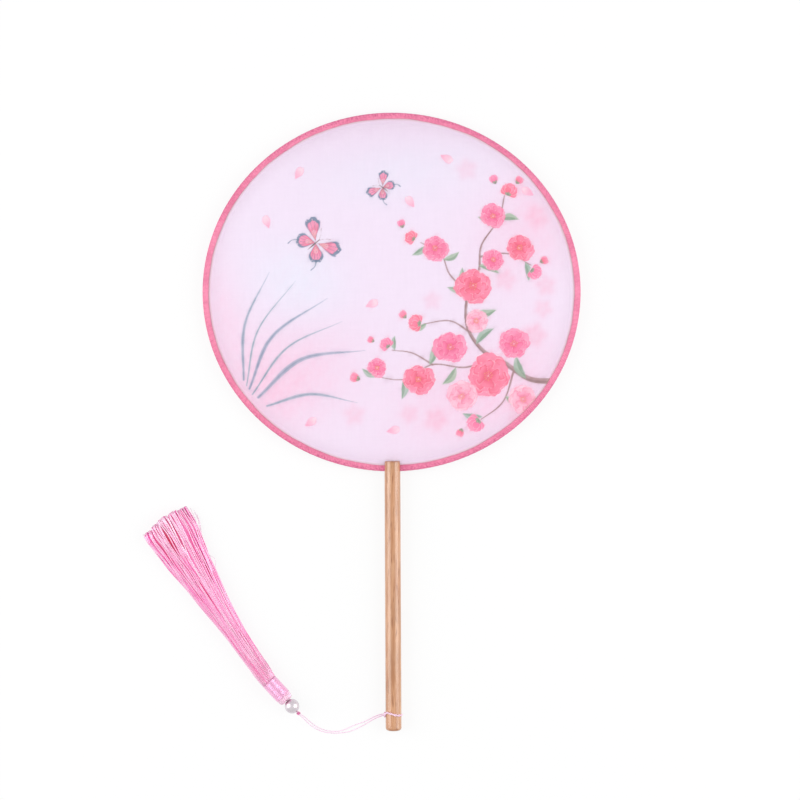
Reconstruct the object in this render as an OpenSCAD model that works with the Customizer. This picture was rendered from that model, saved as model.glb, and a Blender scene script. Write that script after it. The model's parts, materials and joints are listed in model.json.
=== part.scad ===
// Round hand fan. A slotted round handle holds a bent hoop with silk stretched over it and a cloth
// tape folded over the edge. A doubled cord is hitched through the handle's lower end and carries
// a bead and a long tassel.
// Lengths are in millimetres. The fan lies face up: X runs across the face, Y from the handle to
// the face and Z up from the surface. The origin is on the surface, under the middle of the fan's
// outline without its cord, bead and tassel.

/* [Face] */
// Width of the face over its binding
face_w = 260; // [200:1:320]
// Height of the face over its binding
face_h = 246.6; // [190:0.2:310]
// Thickness of the silk
leaf_t = 0.2; // [0.1:0.05:0.5]

/* [Hoop] */
// Width of the bent strip, seen from the front
hoop_w = 4.6; // [3:0.1:7]
// Thickness of the bent strip, front to back
hoop_t = 2.4; // [1.5:0.1:3.5]
// Length of the slanting joint between the strip's ends
scarf_l = 18; // [10:1:40]
// Glue gap left in that joint
scarf_gap = 0.15; // [0.1:0.05:0.5]

/* [Binding] */
// Width of the tape on each face
tape_w = 4.3; // [3:0.1:8]
// Thickness of the tape
tape_t = 0.4; // [0.2:0.05:0.7]

/* [Handle] */
// Diameter of the handle
handle_d = 11; // [9:0.1:16]
// Length of the handle
handle_l = 185.4; // [120:0.2:240]
// How far the rim reaches into the handle's upper end
rim_seat = 7.1; // [5:0.1:14]
// Rounding of the lower end's edge
foot_round = 2; // [0.5:0.1:3.5]
// Bevel of the upper end's edge
top_bevel = 0.4; // [0.1:0.1:1]
// Distance from the lower end to the middle of the cross hole
hole_up = 10.9; // [7:0.1:30]
// Diameter of the cross hole
hole_d = 2.4; // [2:0.1:3]

/* [Cord] */
// Diameter of the doubled cord in the hitch and in the bead
cord_d = 1.7; // [1.2:0.1:1.9]
// Diameter of one free strand
strand_d = 0.9; // [0.6:0.05:1]
// Thickness of the small ring of the hitch round the two strands
ring_wire = 0.9; // [0.6:0.05:1.1]
// How far the hitch climbs along the handle on its way over the front
hitch_rise = 2; // [0:0.1:4]
// Diameter of the stopper knot
knot_d = 2.8; // [2.2:0.1:4]

/* [Bead] */
// Diameter of the bead
bead_d = 10; // [7:0.1:11]
// Gap between the cord and the bead's bore, all round
bead_fit = 0.08; // [0.05:0.01:0.1]

/* [Tassel] */
// Diameter of the wound neck
neck_d = 11.5; // [11:0.1:16]
// Length of the wound neck
neck_l = 14; // [8:0.5:30]
// Thickness of the winding
wrap_t = 0.4; // [0.2:0.05:0.8]
// Length of the folded head that shows above the winding
head_l = 4; // [2:0.5:8]
// Diameter of the knot inside the head
inner_knot_d = 3.4; // [2.6:0.1:4.5]
// Length of the hanging threads
skirt_l = 135; // [60:1:220]
// Width of the threads where they spread most
skirt_w = 35; // [18:1:60]
// Height of the threads at their end
skirt_h = 8.5; // [5:0.5:12]
// Sideways bow of the threads
skirt_bow = 2.1; // [0:0.1:10]
// Greatest difference between the ends of the threads
skirt_jag = 4; // [0:0.5:12]

/* [Hidden] */

// How far a cut runs past what it cuts
over = 1;
// Gap between glued pieces that nest in each other
snug = 0.05;
// Gap between pieces that move against each other
run_gap = 0.2;
// Number of flats round the face, and of sides on a round solid
face_sides = 120;
round_sides = 64;

// Places on the fan, worked out from the sizes above
fan_l = face_h + handle_l - rim_seat;
foot_y = -fan_l / 2;
top_y = foot_y + handle_l;
face_y = fan_l / 2 - face_h / 2;
axis_z = handle_d / 2;
rim_t = hoop_t + leaf_t + 2 * tape_t;
rim_z = axis_z - rim_t / 2;
hoop_z = rim_z + tape_t;
leaf_z = hoop_z + hoop_t;
hole_y = foot_y + hole_up;

// Corner radius of the folded tape, as a share of its thickness
tape_corner_share = 1.75;
tape_corner = tape_corner_share * tape_t;
corner_steps = 3;

// The hitch: how far its turn at the hole's mouth swings out, and its climb along the handle,
// as pairs of an angle round the handle and a share of the rise
turn_share = 0.76;
turn_r = turn_share * cord_d;
turn_x = axis_z - turn_r / 6;
hitch_r = axis_z + cord_d / 2 + 2 * snug;
hitch_shares = [[20, -0.1], [40, -0.08], [60, 0.02], [80, 0.22], [100, 0.55], [120, 0.88],
                [135, 0.95], [150, 0.65]];
ring_r = strand_d + ring_wire / 2 + 4 * snug;
ring_x = -axis_z - ring_wire / 2 - 2 * snug;

// Routes of the two free strands, from the middle of the hole's left mouth
strand_a_route = [
    [0, -0.5, 0], [-1.7, -0.6, -0.2], [-3.5, -1.2, -0.9], [-5.6, -2.1, -1.9], [-7.7, -3.2, -2.9],
    [-9.8, -4.5, -3.8], [-12, -5.9, -4.4], [-14.3, -7.3, -4.8], [-16.6, -8.6, -5], [-19, -9.8, -5],
    [-21.7, -11, -5], [-24.6, -12.1, -5], [-27.5, -12.7, -5], [-30.6, -13.1, -5],
    [-33.7, -13.3, -5], [-36.8, -13.2, -5], [-39.9, -12.9, -5], [-42.8, -12.4, -5],
    [-45.5, -11.4, -5], [-48, -10.2, -4.9], [-50.3, -8.7, -4.5], [-52.4, -7, -3.9],
    [-54.3, -5.1, -3], [-56.1, -3.2, -1.8], [-57.7, -1.3, -0.6], [-59.1, -0.1, 0.2]];
strand_b_route = [
    [0, 0.5, 0], [-1.9, 0.4, -0.2], [-3.9, -0.1, -0.9], [-6.1, -0.9, -1.9], [-8.3, -2, -2.9],
    [-10.6, -3.3, -3.8], [-12.8, -4.5, -4.4], [-15.1, -5.6, -4.8], [-17.6, -6.5, -5],
    [-20.3, -7.4, -5], [-23, -8.4, -5], [-25.7, -9.7, -5], [-28.3, -10.9, -5], [-31, -11.7, -5],
    [-33.9, -12.1, -5], [-36.8, -12, -5], [-39.6, -11.7, -5], [-42.3, -11.1, -5],
    [-44.8, -10.2, -5], [-47.2, -9, -4.9], [-49.4, -7.5, -4.5], [-51.3, -5.8, -3.9],
    [-53.3, -4, -3], [-55.1, -2.2, -1.8], [-56.9, -0.5, -0.6], [-58.4, 0.6, 0.2]];
// The knot's middle, from the same mouth, and the way the bead and the neck point from it,
// in degrees left of +Y
knot_place = [-59.8, 1.3];
tassel_turn = 42.5;
// Turn of the threads against the neck, seen from the front
skirt_turn = -10;

mouth = [-axis_z, hole_y, axis_z];
tassel_z = neck_d / 2;
bead_at = knot_d / 2 + run_gap + bead_d / 2;
head_at = bead_at + bead_d / 2 + run_gap;
wrap_at = head_at + head_l;
skirt_at = wrap_at + neck_l;
head_r = neck_d / 2 - wrap_t - snug;
bead_bore = cord_d + 2 * bead_fit;
inner_knot_at = skirt_at - neck_l / 2;

// The skirt widens and flattens from the neck to its end: pairs of a share of its length and a
// share of the whole change
width_shares = [[0, 0], [0.04, 0.03], [0.1, 0.09], [0.2, 0.12], [0.3, 0.14], [0.4, 0.23],
                [0.5, 0.34], [0.6, 0.49], [0.7, 0.66], [0.8, 0.86], [0.88, 1], [1, 0.97]];
flat_shares = [[0, 0], [0.1, 0.1], [0.3, 0.35], [0.6, 0.65], [0.85, 0.85], [1, 1]];
skirt_rings = 26;
skirt_locks = 20;
// Depth of the furrows between locks, at the neck and at the end, as shares of the local height
furrow_shares = [0.03, 0.12];
// How much squarer than an oval the skirt is at its end
boxy_share = 0.17;
// Gap between the skirt's underside and the surface
skirt_lift = 0.1;

// Value at x in a table of pairs, straight between its entries
function between(x, table, i = 0) =
    x <= table[0][0] ? table[0][1] :
    i + 1 >= len(table) ? table[i][1] :
    x <= table[i + 1][0] ?
        table[i][1] + (table[i + 1][1] - table[i][1]) * (x - table[i][0])
        / (table[i + 1][0] - table[i][0]) :
    between(x, table, i + 1);

function unit(v) = v / norm(v);

// Triangles that join rings of points, each ring with the same number of sides
function side_faces(rings, sides, closed = false) = [
    for (i = [0 : rings - (closed ? 1 : 2)], k = [0 : sides - 1])
        let (a = i * sides, b = ((i + 1) % rings) * sides, m = (k + 1) % sides)
        each [[a + k, b + m, b + k], [a + k, a + m, b + m]]];

// Triangles that close one end: a fan from the ring's first point
function end_faces(first, sides, far) = [
    for (k = [1 : sides - 2])
        far ? [first, first + k, first + k + 1] : [first, first + k + 1, first + k]];

// Direction of a route at one of its points
function heading(route, i) =
    unit(route[min(i + 1, len(route) - 1)] - route[max(i - 1, 0)]);

// Solid tube along a route. The route never runs along the vector side.
module tube(route, d, sides, side) {
    points = [
        for (i = [0 : len(route) - 1])
            let (t = heading(route, i), u = unit(cross(side, t)), v = cross(t, u))
            for (k = [0 : sides - 1])
                route[i] + d / 2 * (cos(360 * k / sides) * v + sin(360 * k / sides) * u)];
    polyhedron(points, concat(side_faces(len(route), sides), end_faces(0, sides, false),
                              end_faces((len(route) - 1) * sides, sides, true)));
}

// Points of the face's outline, set in from its outer edge
function outline(inset) = [
    for (i = [0 : face_sides - 1])
        [(face_w / 2 - inset) * cos(360 * i / face_sides),
         (face_h / 2 - inset) * sin(360 * i / face_sides)]];

// A cylinder from one place to another along the tassel's neck
module on_neck(from, to, d) {
    translate([0, 0, from]) cylinder(h = to - from, d = d, $fn = round_sides);
}

// Places its children on the tassel's axis: the knot's middle is their origin and the tassel
// runs along their Z
module at_knot() {
    translate([mouth[0] + knot_place[0], mouth[1] + knot_place[1], tassel_z])
        rotate([0, 0, tassel_turn]) rotate([-90, 0, 0]) children();
}

// Turned dowel with its saw cut and its cross hole
module handle() {
    r = handle_d / 2;
    color("burlywood") difference() {
        translate([0, foot_y, axis_z]) rotate([-90, 0, 0])
            rotate_extrude($fn = round_sides) polygon(concat(
                [[0, 0]],
                [for (a = [0 : 15 : 90]) [r - foot_round + foot_round * sin(a),
                                          foot_round - foot_round * cos(a)]],
                [[r, handle_l - top_bevel], [r - top_bevel, handle_l], [0, handle_l]]));
        translate([-r - over, top_y - rim_seat - 2 * snug, rim_z - snug])
            cube([handle_d + 2 * over, rim_seat + 2 * snug + over, rim_t + 2 * snug]);
        translate([-r - over, hole_y, axis_z]) rotate([0, 90, 0])
            cylinder(h = handle_d + 2 * over, d = hole_d, $fn = round_sides);
    }
}

// Bent strip, open at the slanting joint of its ends
module hoop() {
    slant = atan(hoop_w / scarf_l);
    outer = tape_t + snug;
    color("tan") translate([0, face_y, hoop_z]) difference() {
        linear_extrude(hoop_t) difference() {
            polygon(outline(outer));
            polygon(outline(outer + hoop_w));
        }
        translate([0, -face_h / 2 + outer + hoop_w / 2, hoop_t / 2]) rotate([0, 0, slant])
            cube([1.6 * scarf_l, scarf_gap, hoop_t + 2 * over], center = true);
    }
}

// Printed silk, stretched over the front of the hoop
module silk_leaf() {
    color("lavender") translate([0, face_y, leaf_z])
        linear_extrude(leaf_t) polygon(outline(tape_t + snug));
}

// Cloth tape folded over the rim, in section a U that opens towards the middle of the face
module edge_binding() {
    c = tape_corner;
    steps = [0 : 90 / corner_steps : 90];
    section = concat(
        [[tape_w, 0]],
        [for (a = steps) [c - c * sin(a), c - c * cos(a)]],
        [for (a = steps) [c - c * cos(a), rim_t - c + c * sin(a)]],
        [[tape_w, rim_t], [tape_w, rim_t - tape_t], [tape_t, rim_t - tape_t],
         [tape_t, tape_t], [tape_w, tape_t]]);
    sides = len(section);
    points = [
        for (i = [0 : face_sides - 1], p = section)
            [(face_w / 2 - p[0]) * cos(360 * i / face_sides),
             (face_h / 2 - p[0]) * sin(360 * i / face_sides), p[1]]];
    color("palevioletred") translate([0, face_y, rim_z])
        polyhedron(points, side_faces(face_sides, sides, true));
}

// Doubled cord through the hole, round the front and back to a small ring round the strands
module cord_hitch() {
    in_hole = [for (x = [snug - axis_z, -turn_x / 3, turn_x / 3, turn_x]) [x, hole_y, axis_z]];
    at_mouth = [
        for (a = [22.5 : 22.5 : 90])
            [turn_x + turn_r * sin(a), hole_y, axis_z + turn_r - turn_r * cos(a)]];
    over_front = [
        for (s = hitch_shares)
            [hitch_r * cos(s[0]), hole_y + s[1] * hitch_rise, axis_z + hitch_r * sin(s[0])]];
    ring_top = [[ring_x, hole_y, axis_z + ring_r]];
    color("pink") {
        tube(concat(in_hole, at_mouth, over_front, ring_top), cord_d, 8, [0, 1, 0]);
        translate([ring_x, hole_y, axis_z]) rotate([0, 90, 0])
            rotate_extrude($fn = round_sides) translate([ring_r, 0])
                circle(d = ring_wire, $fn = round_sides / 2);
    }
}

// One free strand of the doubled cord
module strand(route) {
    color("pink") tube([for (p = route) mouth + p], strand_d, 8, [0, 0, 1]);
}
module cord_strand_a() { strand(strand_a_route); }
module cord_strand_b() { strand(strand_b_route); }

// Knot that stops the bead
module stopper_knot() {
    color("hotpink") at_knot() sphere(d = knot_d, $fn = round_sides);
}

// Bored bead
module pearl_bead() {
    color("ghostwhite") at_knot() difference() {
        translate([0, 0, bead_at]) sphere(d = bead_d, $fn = round_sides);
        on_neck(bead_at - bead_d / 2 - over, bead_at + bead_d / 2 + over, bead_bore);
    }
}

// Doubled cord from the stopper knot through the bead to its own knot inside the head
module tassel_loop() {
    color("pink") at_knot() union() {
        on_neck(knot_d / 2 + run_gap, inner_knot_at, cord_d);
        translate([0, 0, inner_knot_at]) sphere(d = inner_knot_d, $fn = round_sides);
    }
}

// Folded end of the yarn, domed towards the bead, hollow where the cord and its knot sit
module tassel_head() {
    color("pink") at_knot() difference() {
        translate([0, 0, head_at]) rotate_extrude($fn = round_sides) polygon(concat(
            [[0, 0]],
            [for (a = [15 : 15 : 90]) [head_r - head_l / 2 + head_l / 2 * sin(a),
                                       head_l / 2 - head_l / 2 * cos(a)]],
            [[head_r, head_l + neck_l], [0, head_l + neck_l]]));
        on_neck(head_at - over, inner_knot_at, cord_d + 2 * snug);
        translate([0, 0, inner_knot_at])
            sphere(d = inner_knot_d + 2 * snug, $fn = round_sides);
    }
}

// Fine thread wound round the neck of the yarn
module neck_wrap() {
    color("lightpink") at_knot() difference() {
        on_neck(wrap_at, wrap_at + neck_l, neck_d);
        on_neck(wrap_at - over, wrap_at + neck_l + over, neck_d - 2 * wrap_t);
    }
}

// Hanging threads, gathered in locks with furrows between them and flattened by lying down.
// Their ends stand square to the threads. The locks end at different lengths, and the end is
// drawn in at its middle.
module tassel_skirt() {
    sides = 2 * skirt_locks;
    start_w = 2 * head_r;
    start_lift = tassel_z - head_r - skirt_lift;
    inner_l = skirt_l - skirt_jag;
    function place(s, y) = [
        -y * sin(skirt_turn) - 4 * skirt_bow * s * (1 - s), y * cos(skirt_turn)];
    function point(s, k) =
        let (a = 360 * k / sides, ridge = k % 2 == 0,
             w = start_w + (skirt_w - start_w) * between(s, width_shares),
             h = start_w + (skirt_h - start_w) * between(s, flat_shares),
             furrow = furrow_shares[0] + (furrow_shares[1] - furrow_shares[0]) * s,
             pinch = ridge || s == 0 ? 0 : furrow * h,
             boxy = 1 + boxy_share * s * pow(sin(2 * a), 2),
             tip = ridge ? skirt_jag * abs(sin(151 * k)) : 0,
             p = place(s, inner_l * s + tip * s * s), side = (w / 2 * boxy - pinch) * cos(a))
        [p[0] + side * cos(skirt_turn * s), p[1] + side * sin(skirt_turn * s),
         skirt_lift + start_lift * pow(1 - s, 3) + h / 2 + (h / 2 - pinch) * sin(a)];
    points = [
        for (i = [0 : skirt_rings - 1], k = [0 : sides - 1]) point(i / (skirt_rings - 1), k)];
    middle = place(1, inner_l - skirt_jag);
    last = (skirt_rings - 1) * sides;
    color("hotpink")
        translate([mouth[0] + knot_place[0], mouth[1] + knot_place[1], 0])
            rotate([0, 0, tassel_turn]) translate([0, skirt_at, 0])
                polyhedron(
                    concat(points, [[middle[0], middle[1], skirt_lift + skirt_h / 2]]),
                    concat(side_faces(skirt_rings, sides), end_faces(0, sides, false),
                           [for (k = [0 : sides - 1])
                               [last + k, last + (k + 1) % sides, len(points)]]));
}

handle();
hoop();
silk_leaf();
edge_binding();
cord_hitch();
cord_strand_a();
cord_strand_b();
stopper_knot();
pearl_bead();
tassel_loop();
tassel_head();
neck_wrap();
tassel_skirt();
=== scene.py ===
"""Round hand fan: printed silk on a bound hoop, a wooden handle, a corded bead and a long tassel.

Every piece is made in metres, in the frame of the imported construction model.
"""

import json
import math
import random

import bmesh
import bpy
import numpy as np
from bpy.props import FloatProperty, FloatVectorProperty, IntProperty, PointerProperty
from mathutils import Matrix, Vector, noise


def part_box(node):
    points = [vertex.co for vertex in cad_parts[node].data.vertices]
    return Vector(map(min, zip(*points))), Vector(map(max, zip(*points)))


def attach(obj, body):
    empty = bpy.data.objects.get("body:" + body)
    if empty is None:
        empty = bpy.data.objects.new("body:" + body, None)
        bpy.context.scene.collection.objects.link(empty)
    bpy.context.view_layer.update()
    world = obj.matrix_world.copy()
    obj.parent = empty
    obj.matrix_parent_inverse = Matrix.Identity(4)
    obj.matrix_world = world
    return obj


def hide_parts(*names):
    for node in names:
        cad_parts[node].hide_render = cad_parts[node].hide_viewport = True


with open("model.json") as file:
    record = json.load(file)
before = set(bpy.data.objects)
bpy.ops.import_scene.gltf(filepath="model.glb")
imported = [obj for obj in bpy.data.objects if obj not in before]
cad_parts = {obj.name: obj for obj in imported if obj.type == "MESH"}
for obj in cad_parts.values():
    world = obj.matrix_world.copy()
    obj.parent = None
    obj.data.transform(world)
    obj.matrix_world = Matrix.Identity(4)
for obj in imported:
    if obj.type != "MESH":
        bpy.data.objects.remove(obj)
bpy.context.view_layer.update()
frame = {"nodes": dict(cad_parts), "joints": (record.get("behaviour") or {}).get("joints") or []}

bl_info = {
    "name": "Round Hand Fan",
    "version": (1, 0, 0),
    "blender": (4, 5, 0),
    "location": "View3D > Sidebar > Hand Fan",
    "description": "Builds the looks of a round silk fan with a beaded cord and a tassel",
    "category": "Object",
}

MM = 0.001

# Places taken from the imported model
JOINTS = {joint["name"]: joint for joint in frame["joints"]}
KNOT = Vector(JOINTS["tassel_swing"]["pos_m"])
BEAD = Vector(JOINTS["bead_spin"]["pos_m"])
ALONG = Vector(JOINTS["bead_spin"]["axis"])
ACROSS = Vector((ALONG.y, -ALONG.x, 0))
FACE_LOW, FACE_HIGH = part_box("edge_binding")
FACE_MIDDLE = (Vector(FACE_LOW) + Vector(FACE_HIGH)) / 2
FACE_HALF = (Vector(FACE_HIGH) - Vector(FACE_LOW)) / 2
HANDLE_LOW, HANDLE_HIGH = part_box("handle")
HANDLE_R = (HANDLE_HIGH[0] - HANDLE_LOW[0]) / 2
HANDLE_MIDDLE_Y = (HANDLE_HIGH[1] + HANDLE_LOW[1]) / 2
HANDLE_HALF_L = (HANDLE_HIGH[1] - HANDLE_LOW[1]) / 2
LEAF_LOW, LEAF_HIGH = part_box("silk_leaf")
LEAF_MIDDLE = (LEAF_LOW[2] + LEAF_HIGH[2]) / 2
HEAD_R = (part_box("tassel_head")[1][2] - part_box("tassel_head")[0][2]) / 2
NECK_R = (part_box("neck_wrap")[1][2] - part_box("neck_wrap")[0][2]) / 2

# The cord, with the same sizes and routes as the construction model
HOLE_UP = 10.9 * MM
CORD_D = 1.7 * MM
BEAD_D = 10 * MM
BEAD_BORE = 1.86 * MM
KNOT_R = 1.4 * MM
BEAD_GAP = 0.2 * MM
HOLE_Y = HANDLE_LOW[1] + HOLE_UP
# Where the small ring of the hitch stands, out from the handle's middle
RING_OUT = HANDLE_R + 0.55 * MM
MOUTH = Vector((HANDLE_LOW[0], HOLE_Y, HANDLE_R))
STRAND_A_ROUTE = (
    (0, -0.5, 0), (-1.7, -0.6, -0.2), (-3.5, -1.2, -0.9), (-5.6, -2.1, -1.9), (-7.7, -3.2, -2.9),
    (-9.8, -4.5, -3.8), (-12, -5.9, -4.4), (-14.3, -7.3, -4.8), (-16.6, -8.6, -5), (-19, -9.8, -5),
    (-21.7, -11, -5), (-24.6, -12.1, -5), (-27.5, -12.7, -5), (-30.6, -13.1, -5),
    (-33.7, -13.3, -5), (-36.8, -13.2, -5), (-39.9, -12.9, -5), (-42.8, -12.4, -5),
    (-45.5, -11.4, -5), (-48, -10.2, -4.9), (-50.3, -8.7, -4.5), (-52.4, -7, -3.9),
    (-54.3, -5.1, -3), (-56.1, -3.2, -1.8), (-57.7, -1.3, -0.6), (-59.17, 0.05, 0.2))
STRAND_B_ROUTE = (
    (0, 0.5, 0), (-1.9, 0.4, -0.2), (-3.9, -0.1, -0.9), (-6.1, -0.9, -1.9), (-8.3, -2, -2.9),
    (-10.6, -3.3, -3.8), (-12.8, -4.5, -4.4), (-15.1, -5.6, -4.8), (-17.6, -6.5, -5),
    (-20.3, -7.4, -5), (-23, -8.4, -5), (-25.7, -9.7, -5), (-28.3, -10.9, -5), (-31, -11.7, -5),
    (-33.9, -12.1, -5), (-36.8, -12, -5), (-39.6, -11.7, -5), (-42.3, -11.1, -5),
    (-44.8, -10.2, -5), (-47.2, -9, -4.9), (-49.4, -7.5, -4.5), (-51.3, -5.8, -3.9),
    (-53.3, -4, -3), (-55.1, -2.2, -1.8), (-56.9, -0.5, -0.6), (-58.36, 0.55, 0.2))
HITCH_SHARES = ((20, -0.1), (40, -0.08), (60, 0.02), (80, 0.22), (100, 0.55), (120, 0.88),
                (135, 0.95), (150, 0.65))
HITCH_RISE = 2 * MM

# The photograph: its side in pixels, the face's middle in it, and the size of one pixel
PHOTO_SIDE = 800
FACE_PIXEL = (391.6, 292.1)
PIXEL = 0.688 * MM


def linear(colour):
    """A linear colour from one given in the usual 0 to 255 steps."""
    share = np.asarray(colour, float) / 255
    return np.where(share <= 0.04045, share / 12.92, ((share + 0.055) / 1.055) ** 2.4)


def rgba(colour):
    return (*[float(c) for c in colour[:3]], 1.0)


def dye(*colour):
    """A socket's colour from one given in the usual 0 to 255 steps."""
    return rgba(linear(colour))


def colour_property(name, rgb, description):
    return FloatVectorProperty(
        name=name, description=description, subtype="COLOR", size=3, min=0, max=1,
        default=[float(c) for c in linear(rgb)])


def length_property(name, millimetres, description):
    return FloatProperty(
        name=name, description=description, default=millimetres * MM, min=0, precision=5,
        unit="LENGTH")


class StageSettings(bpy.types.PropertyGroup):
    lens: FloatProperty(
        name="Lens", description="Focal length of the camera", default=100, min=20, unit="CAMERA")
    roll: FloatProperty(
        name="Roll", description="Turn of the camera about its own axis",
        default=-0.0045, unit="ROTATION")
    lamp_power: FloatProperty(
        name="Lamp power", description="Power of each side lamp", default=12.9, min=0,
        unit="POWER")
    sky: FloatProperty(
        name="Sky", description="Strength of the even light from all round", default=0.62, min=0)


class SilkSettings(bpy.types.PropertyGroup):
    cell: length_property("Cell", 3.5, "Spacing of the silk's points at its back")
    weave: length_property("Weave", 0.32, "Spacing of the silk's threads")


class BindingSettings(bpy.types.PropertyGroup):
    colour: colour_property("Tape", (248, 144, 178), "Colour of the tape's flat")
    # Fold: the tape's colour with painted shade along its outer fold
    edge: colour_property("Fold", (214, 104, 142), "Colour of the tape along its outer fold")
    stations: IntProperty(
        name="Stations", description="Steps of the tape round the face", default=2200, min=120)
    pleat: length_property("Pleat", 3.6, "Spacing of the wide pleats along the fold")
    gather: length_property("Gather", 1.35, "Spacing of the fine gathers at the fold")


class WoodSettings(bpy.types.PropertyGroup):
    handle_light: colour_property("Handle light", (212, 160, 120), "Light wood of the handle")
    handle_dark: colour_property("Handle dark", (182, 122, 78), "Dark wood of the handle")
    bamboo: colour_property("Bamboo", (226, 200, 162), "Colour of the hoop")


class CordSettings(bpy.types.PropertyGroup):
    colour: colour_property("Cord", (255, 226, 246), "Colour of the cord")
    knot: colour_property("Knot", (246, 158, 204), "Colour of the tightened knot")
    lay: length_property("Lay", 2.1, "Length of one turn of the cord's twist")


class BeadSettings(bpy.types.PropertyGroup):
    colour: colour_property("Pearl", (232, 224, 228), "Colour of the bead")


class TasselSettings(bpy.types.PropertyGroup):
    colour: colour_property("Yarn", (255, 246, 255), "Colour of the yarn")
    neck: colour_property("Neck", (255, 192, 230), "Colour of the thread wound round the neck")
    threads: IntProperty(name="Threads", description="Threads in the tassel", default=170, min=50)
    thread: length_property("Thread", 0.85, "Thickness of one thread, half way down the tassel")


SETTINGS = {
    "stage": StageSettings, "silk": SilkSettings, "binding": BindingSettings,
    "wood": WoodSettings, "cord": CordSettings, "bead": BeadSettings, "tassel": TasselSettings}


class FanSettings(bpy.types.PropertyGroup):
    __annotations__ = {name: PointerProperty(type=group) for name, group in SETTINGS.items()}


# Node trees

class Sketch:
    """Adds nodes to one tree. Inputs are given by name or place, as values or as sockets."""

    def __init__(self, tree):
        self.tree = tree

    def add(self, kind, inputs=None, **settings):
        node = self.tree.nodes.new(kind)
        for name, value in settings.items():
            setattr(node, name, value)
        for key, value in (inputs or {}).items():
            if isinstance(value, bpy.types.NodeSocket):
                self.tree.links.new(value, node.inputs[key])
            else:
                node.inputs[key].default_value = value
        return node

    def math(self, operation, *values):
        return self.add("ShaderNodeMath", dict(enumerate(values)), operation=operation).outputs[0]

    def vector(self, operation, *values):
        return self.add("ShaderNodeVectorMath", dict(enumerate(values)),
                        operation=operation).outputs[0]

    def scale(self, vector, factor):
        return self.add("ShaderNodeVectorMath", {0: vector, "Scale": factor},
                        operation="SCALE").outputs[0]

    def mix(self, share, first, second):
        return self.add("ShaderNodeMix", {0: share, 6: first, 7: second},
                        data_type="RGBA").outputs[2]

    def spread(self, value, low, high, to_low=0.0, to_high=1.0):
        return self.add("ShaderNodeMapRange",
                        dict(enumerate((value, low, high, to_low, to_high)))).outputs[0]

    def noise(self, vector, scale, detail=3.0, roughness=0.55):
        return self.add("ShaderNodeTexNoise", {
            "Vector": vector, "Scale": scale, "Detail": detail,
            "Roughness": roughness}).outputs["Fac"]

    def drawn_noise(self, vector, shares, *noise_inputs):
        """Noise drawn out along the axes whose shares are below 1."""
        return self.noise(self.vector("MULTIPLY", vector, shares), *noise_inputs)

    def place(self, output="Object"):
        return self.add("ShaderNodeTexCoord").outputs[output]

    def attribute(self, name, output="Fac"):
        return self.add("ShaderNodeAttribute", attribute_name=name).outputs[output]

    def axes(self, vector):
        return self.add("ShaderNodeSeparateXYZ", {0: vector}).outputs

    def bump(self, height, distance, strength):
        return self.add("ShaderNodeBump", {
            "Height": height, "Distance": distance, "Strength": strength}).outputs[0]

    def give(self, **outputs):
        """Ends a node group with its outputs."""
        self.add("NodeGroupOutput", outputs)
        return self.tree


def effect(name, inputs, outputs):
    """A new shader node group: its sketch and its inputs."""
    tree = bpy.data.node_groups.new(name, "ShaderNodeTree")
    for way, sockets in (("INPUT", inputs), ("OUTPUT", outputs)):
        for socket, kind in sockets.items():
            tree.interface.new_socket(socket, in_out=way, socket_type="NodeSocket" + kind)
    sketch = Sketch(tree)
    return sketch, sketch.add("NodeGroupInput").outputs


def plain_weave():
    """Warp and weft that pass over and under each other, spaced a pitch apart."""
    s, given = effect("weave", {"Vector": "Vector", "Pitch": "Float"},
                      {"Height": "Float", "Open": "Float"})
    axes = s.axes(s.scale(given["Vector"], s.math("DIVIDE", math.pi, given["Pitch"])))[:2]
    top = s.math("MAXIMUM", *[s.math("ABSOLUTE", s.math("SINE", axis)) for axis in axes])
    over = s.math("MULTIPLY", *[s.math("COSINE", axis) for axis in axes])
    return s.give(Height=s.math("ADD", top, s.math("MULTIPLY", over, 0.35)),
                  Open=s.spread(top, 0.1, 0.55, 1.0, 0.0))


def ply_twist():
    """Slanting ridges of a twisted thread, from a map that runs along it in metres and once
    round it."""
    s, given = effect("twist", {"UV": "Vector", "Lay": "Float", "Plies": "Float"},
                      {"Height": "Float"})
    axes = s.axes(given["UV"])
    turns = s.math("ADD", s.math("DIVIDE", axes[0], given["Lay"]), axes[1])
    phase = s.math("MULTIPLY", s.math("MULTIPLY", turns, given["Plies"]), 2 * math.pi)
    return s.give(Height=s.spread(s.math("SINE", phase), -1, 1))


def soft_tone():
    """A colour that drifts a little lighter and darker over the surface."""
    s, given = effect("tone", {"Color": "Color", "Vector": "Vector", "Scale": "Float",
                               "Amount": "Float"}, {"Color": "Color"})
    cloud = s.noise(given["Vector"], given["Scale"], 4.0, 0.5)
    drift = s.math("MULTIPLY", s.math("SUBTRACT", cloud, 0.5), given["Amount"])
    return s.give(Color=s.scale(given["Color"],
                                s.math("ADD", 1.0, s.math("MULTIPLY", drift, 2.0))))


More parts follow.
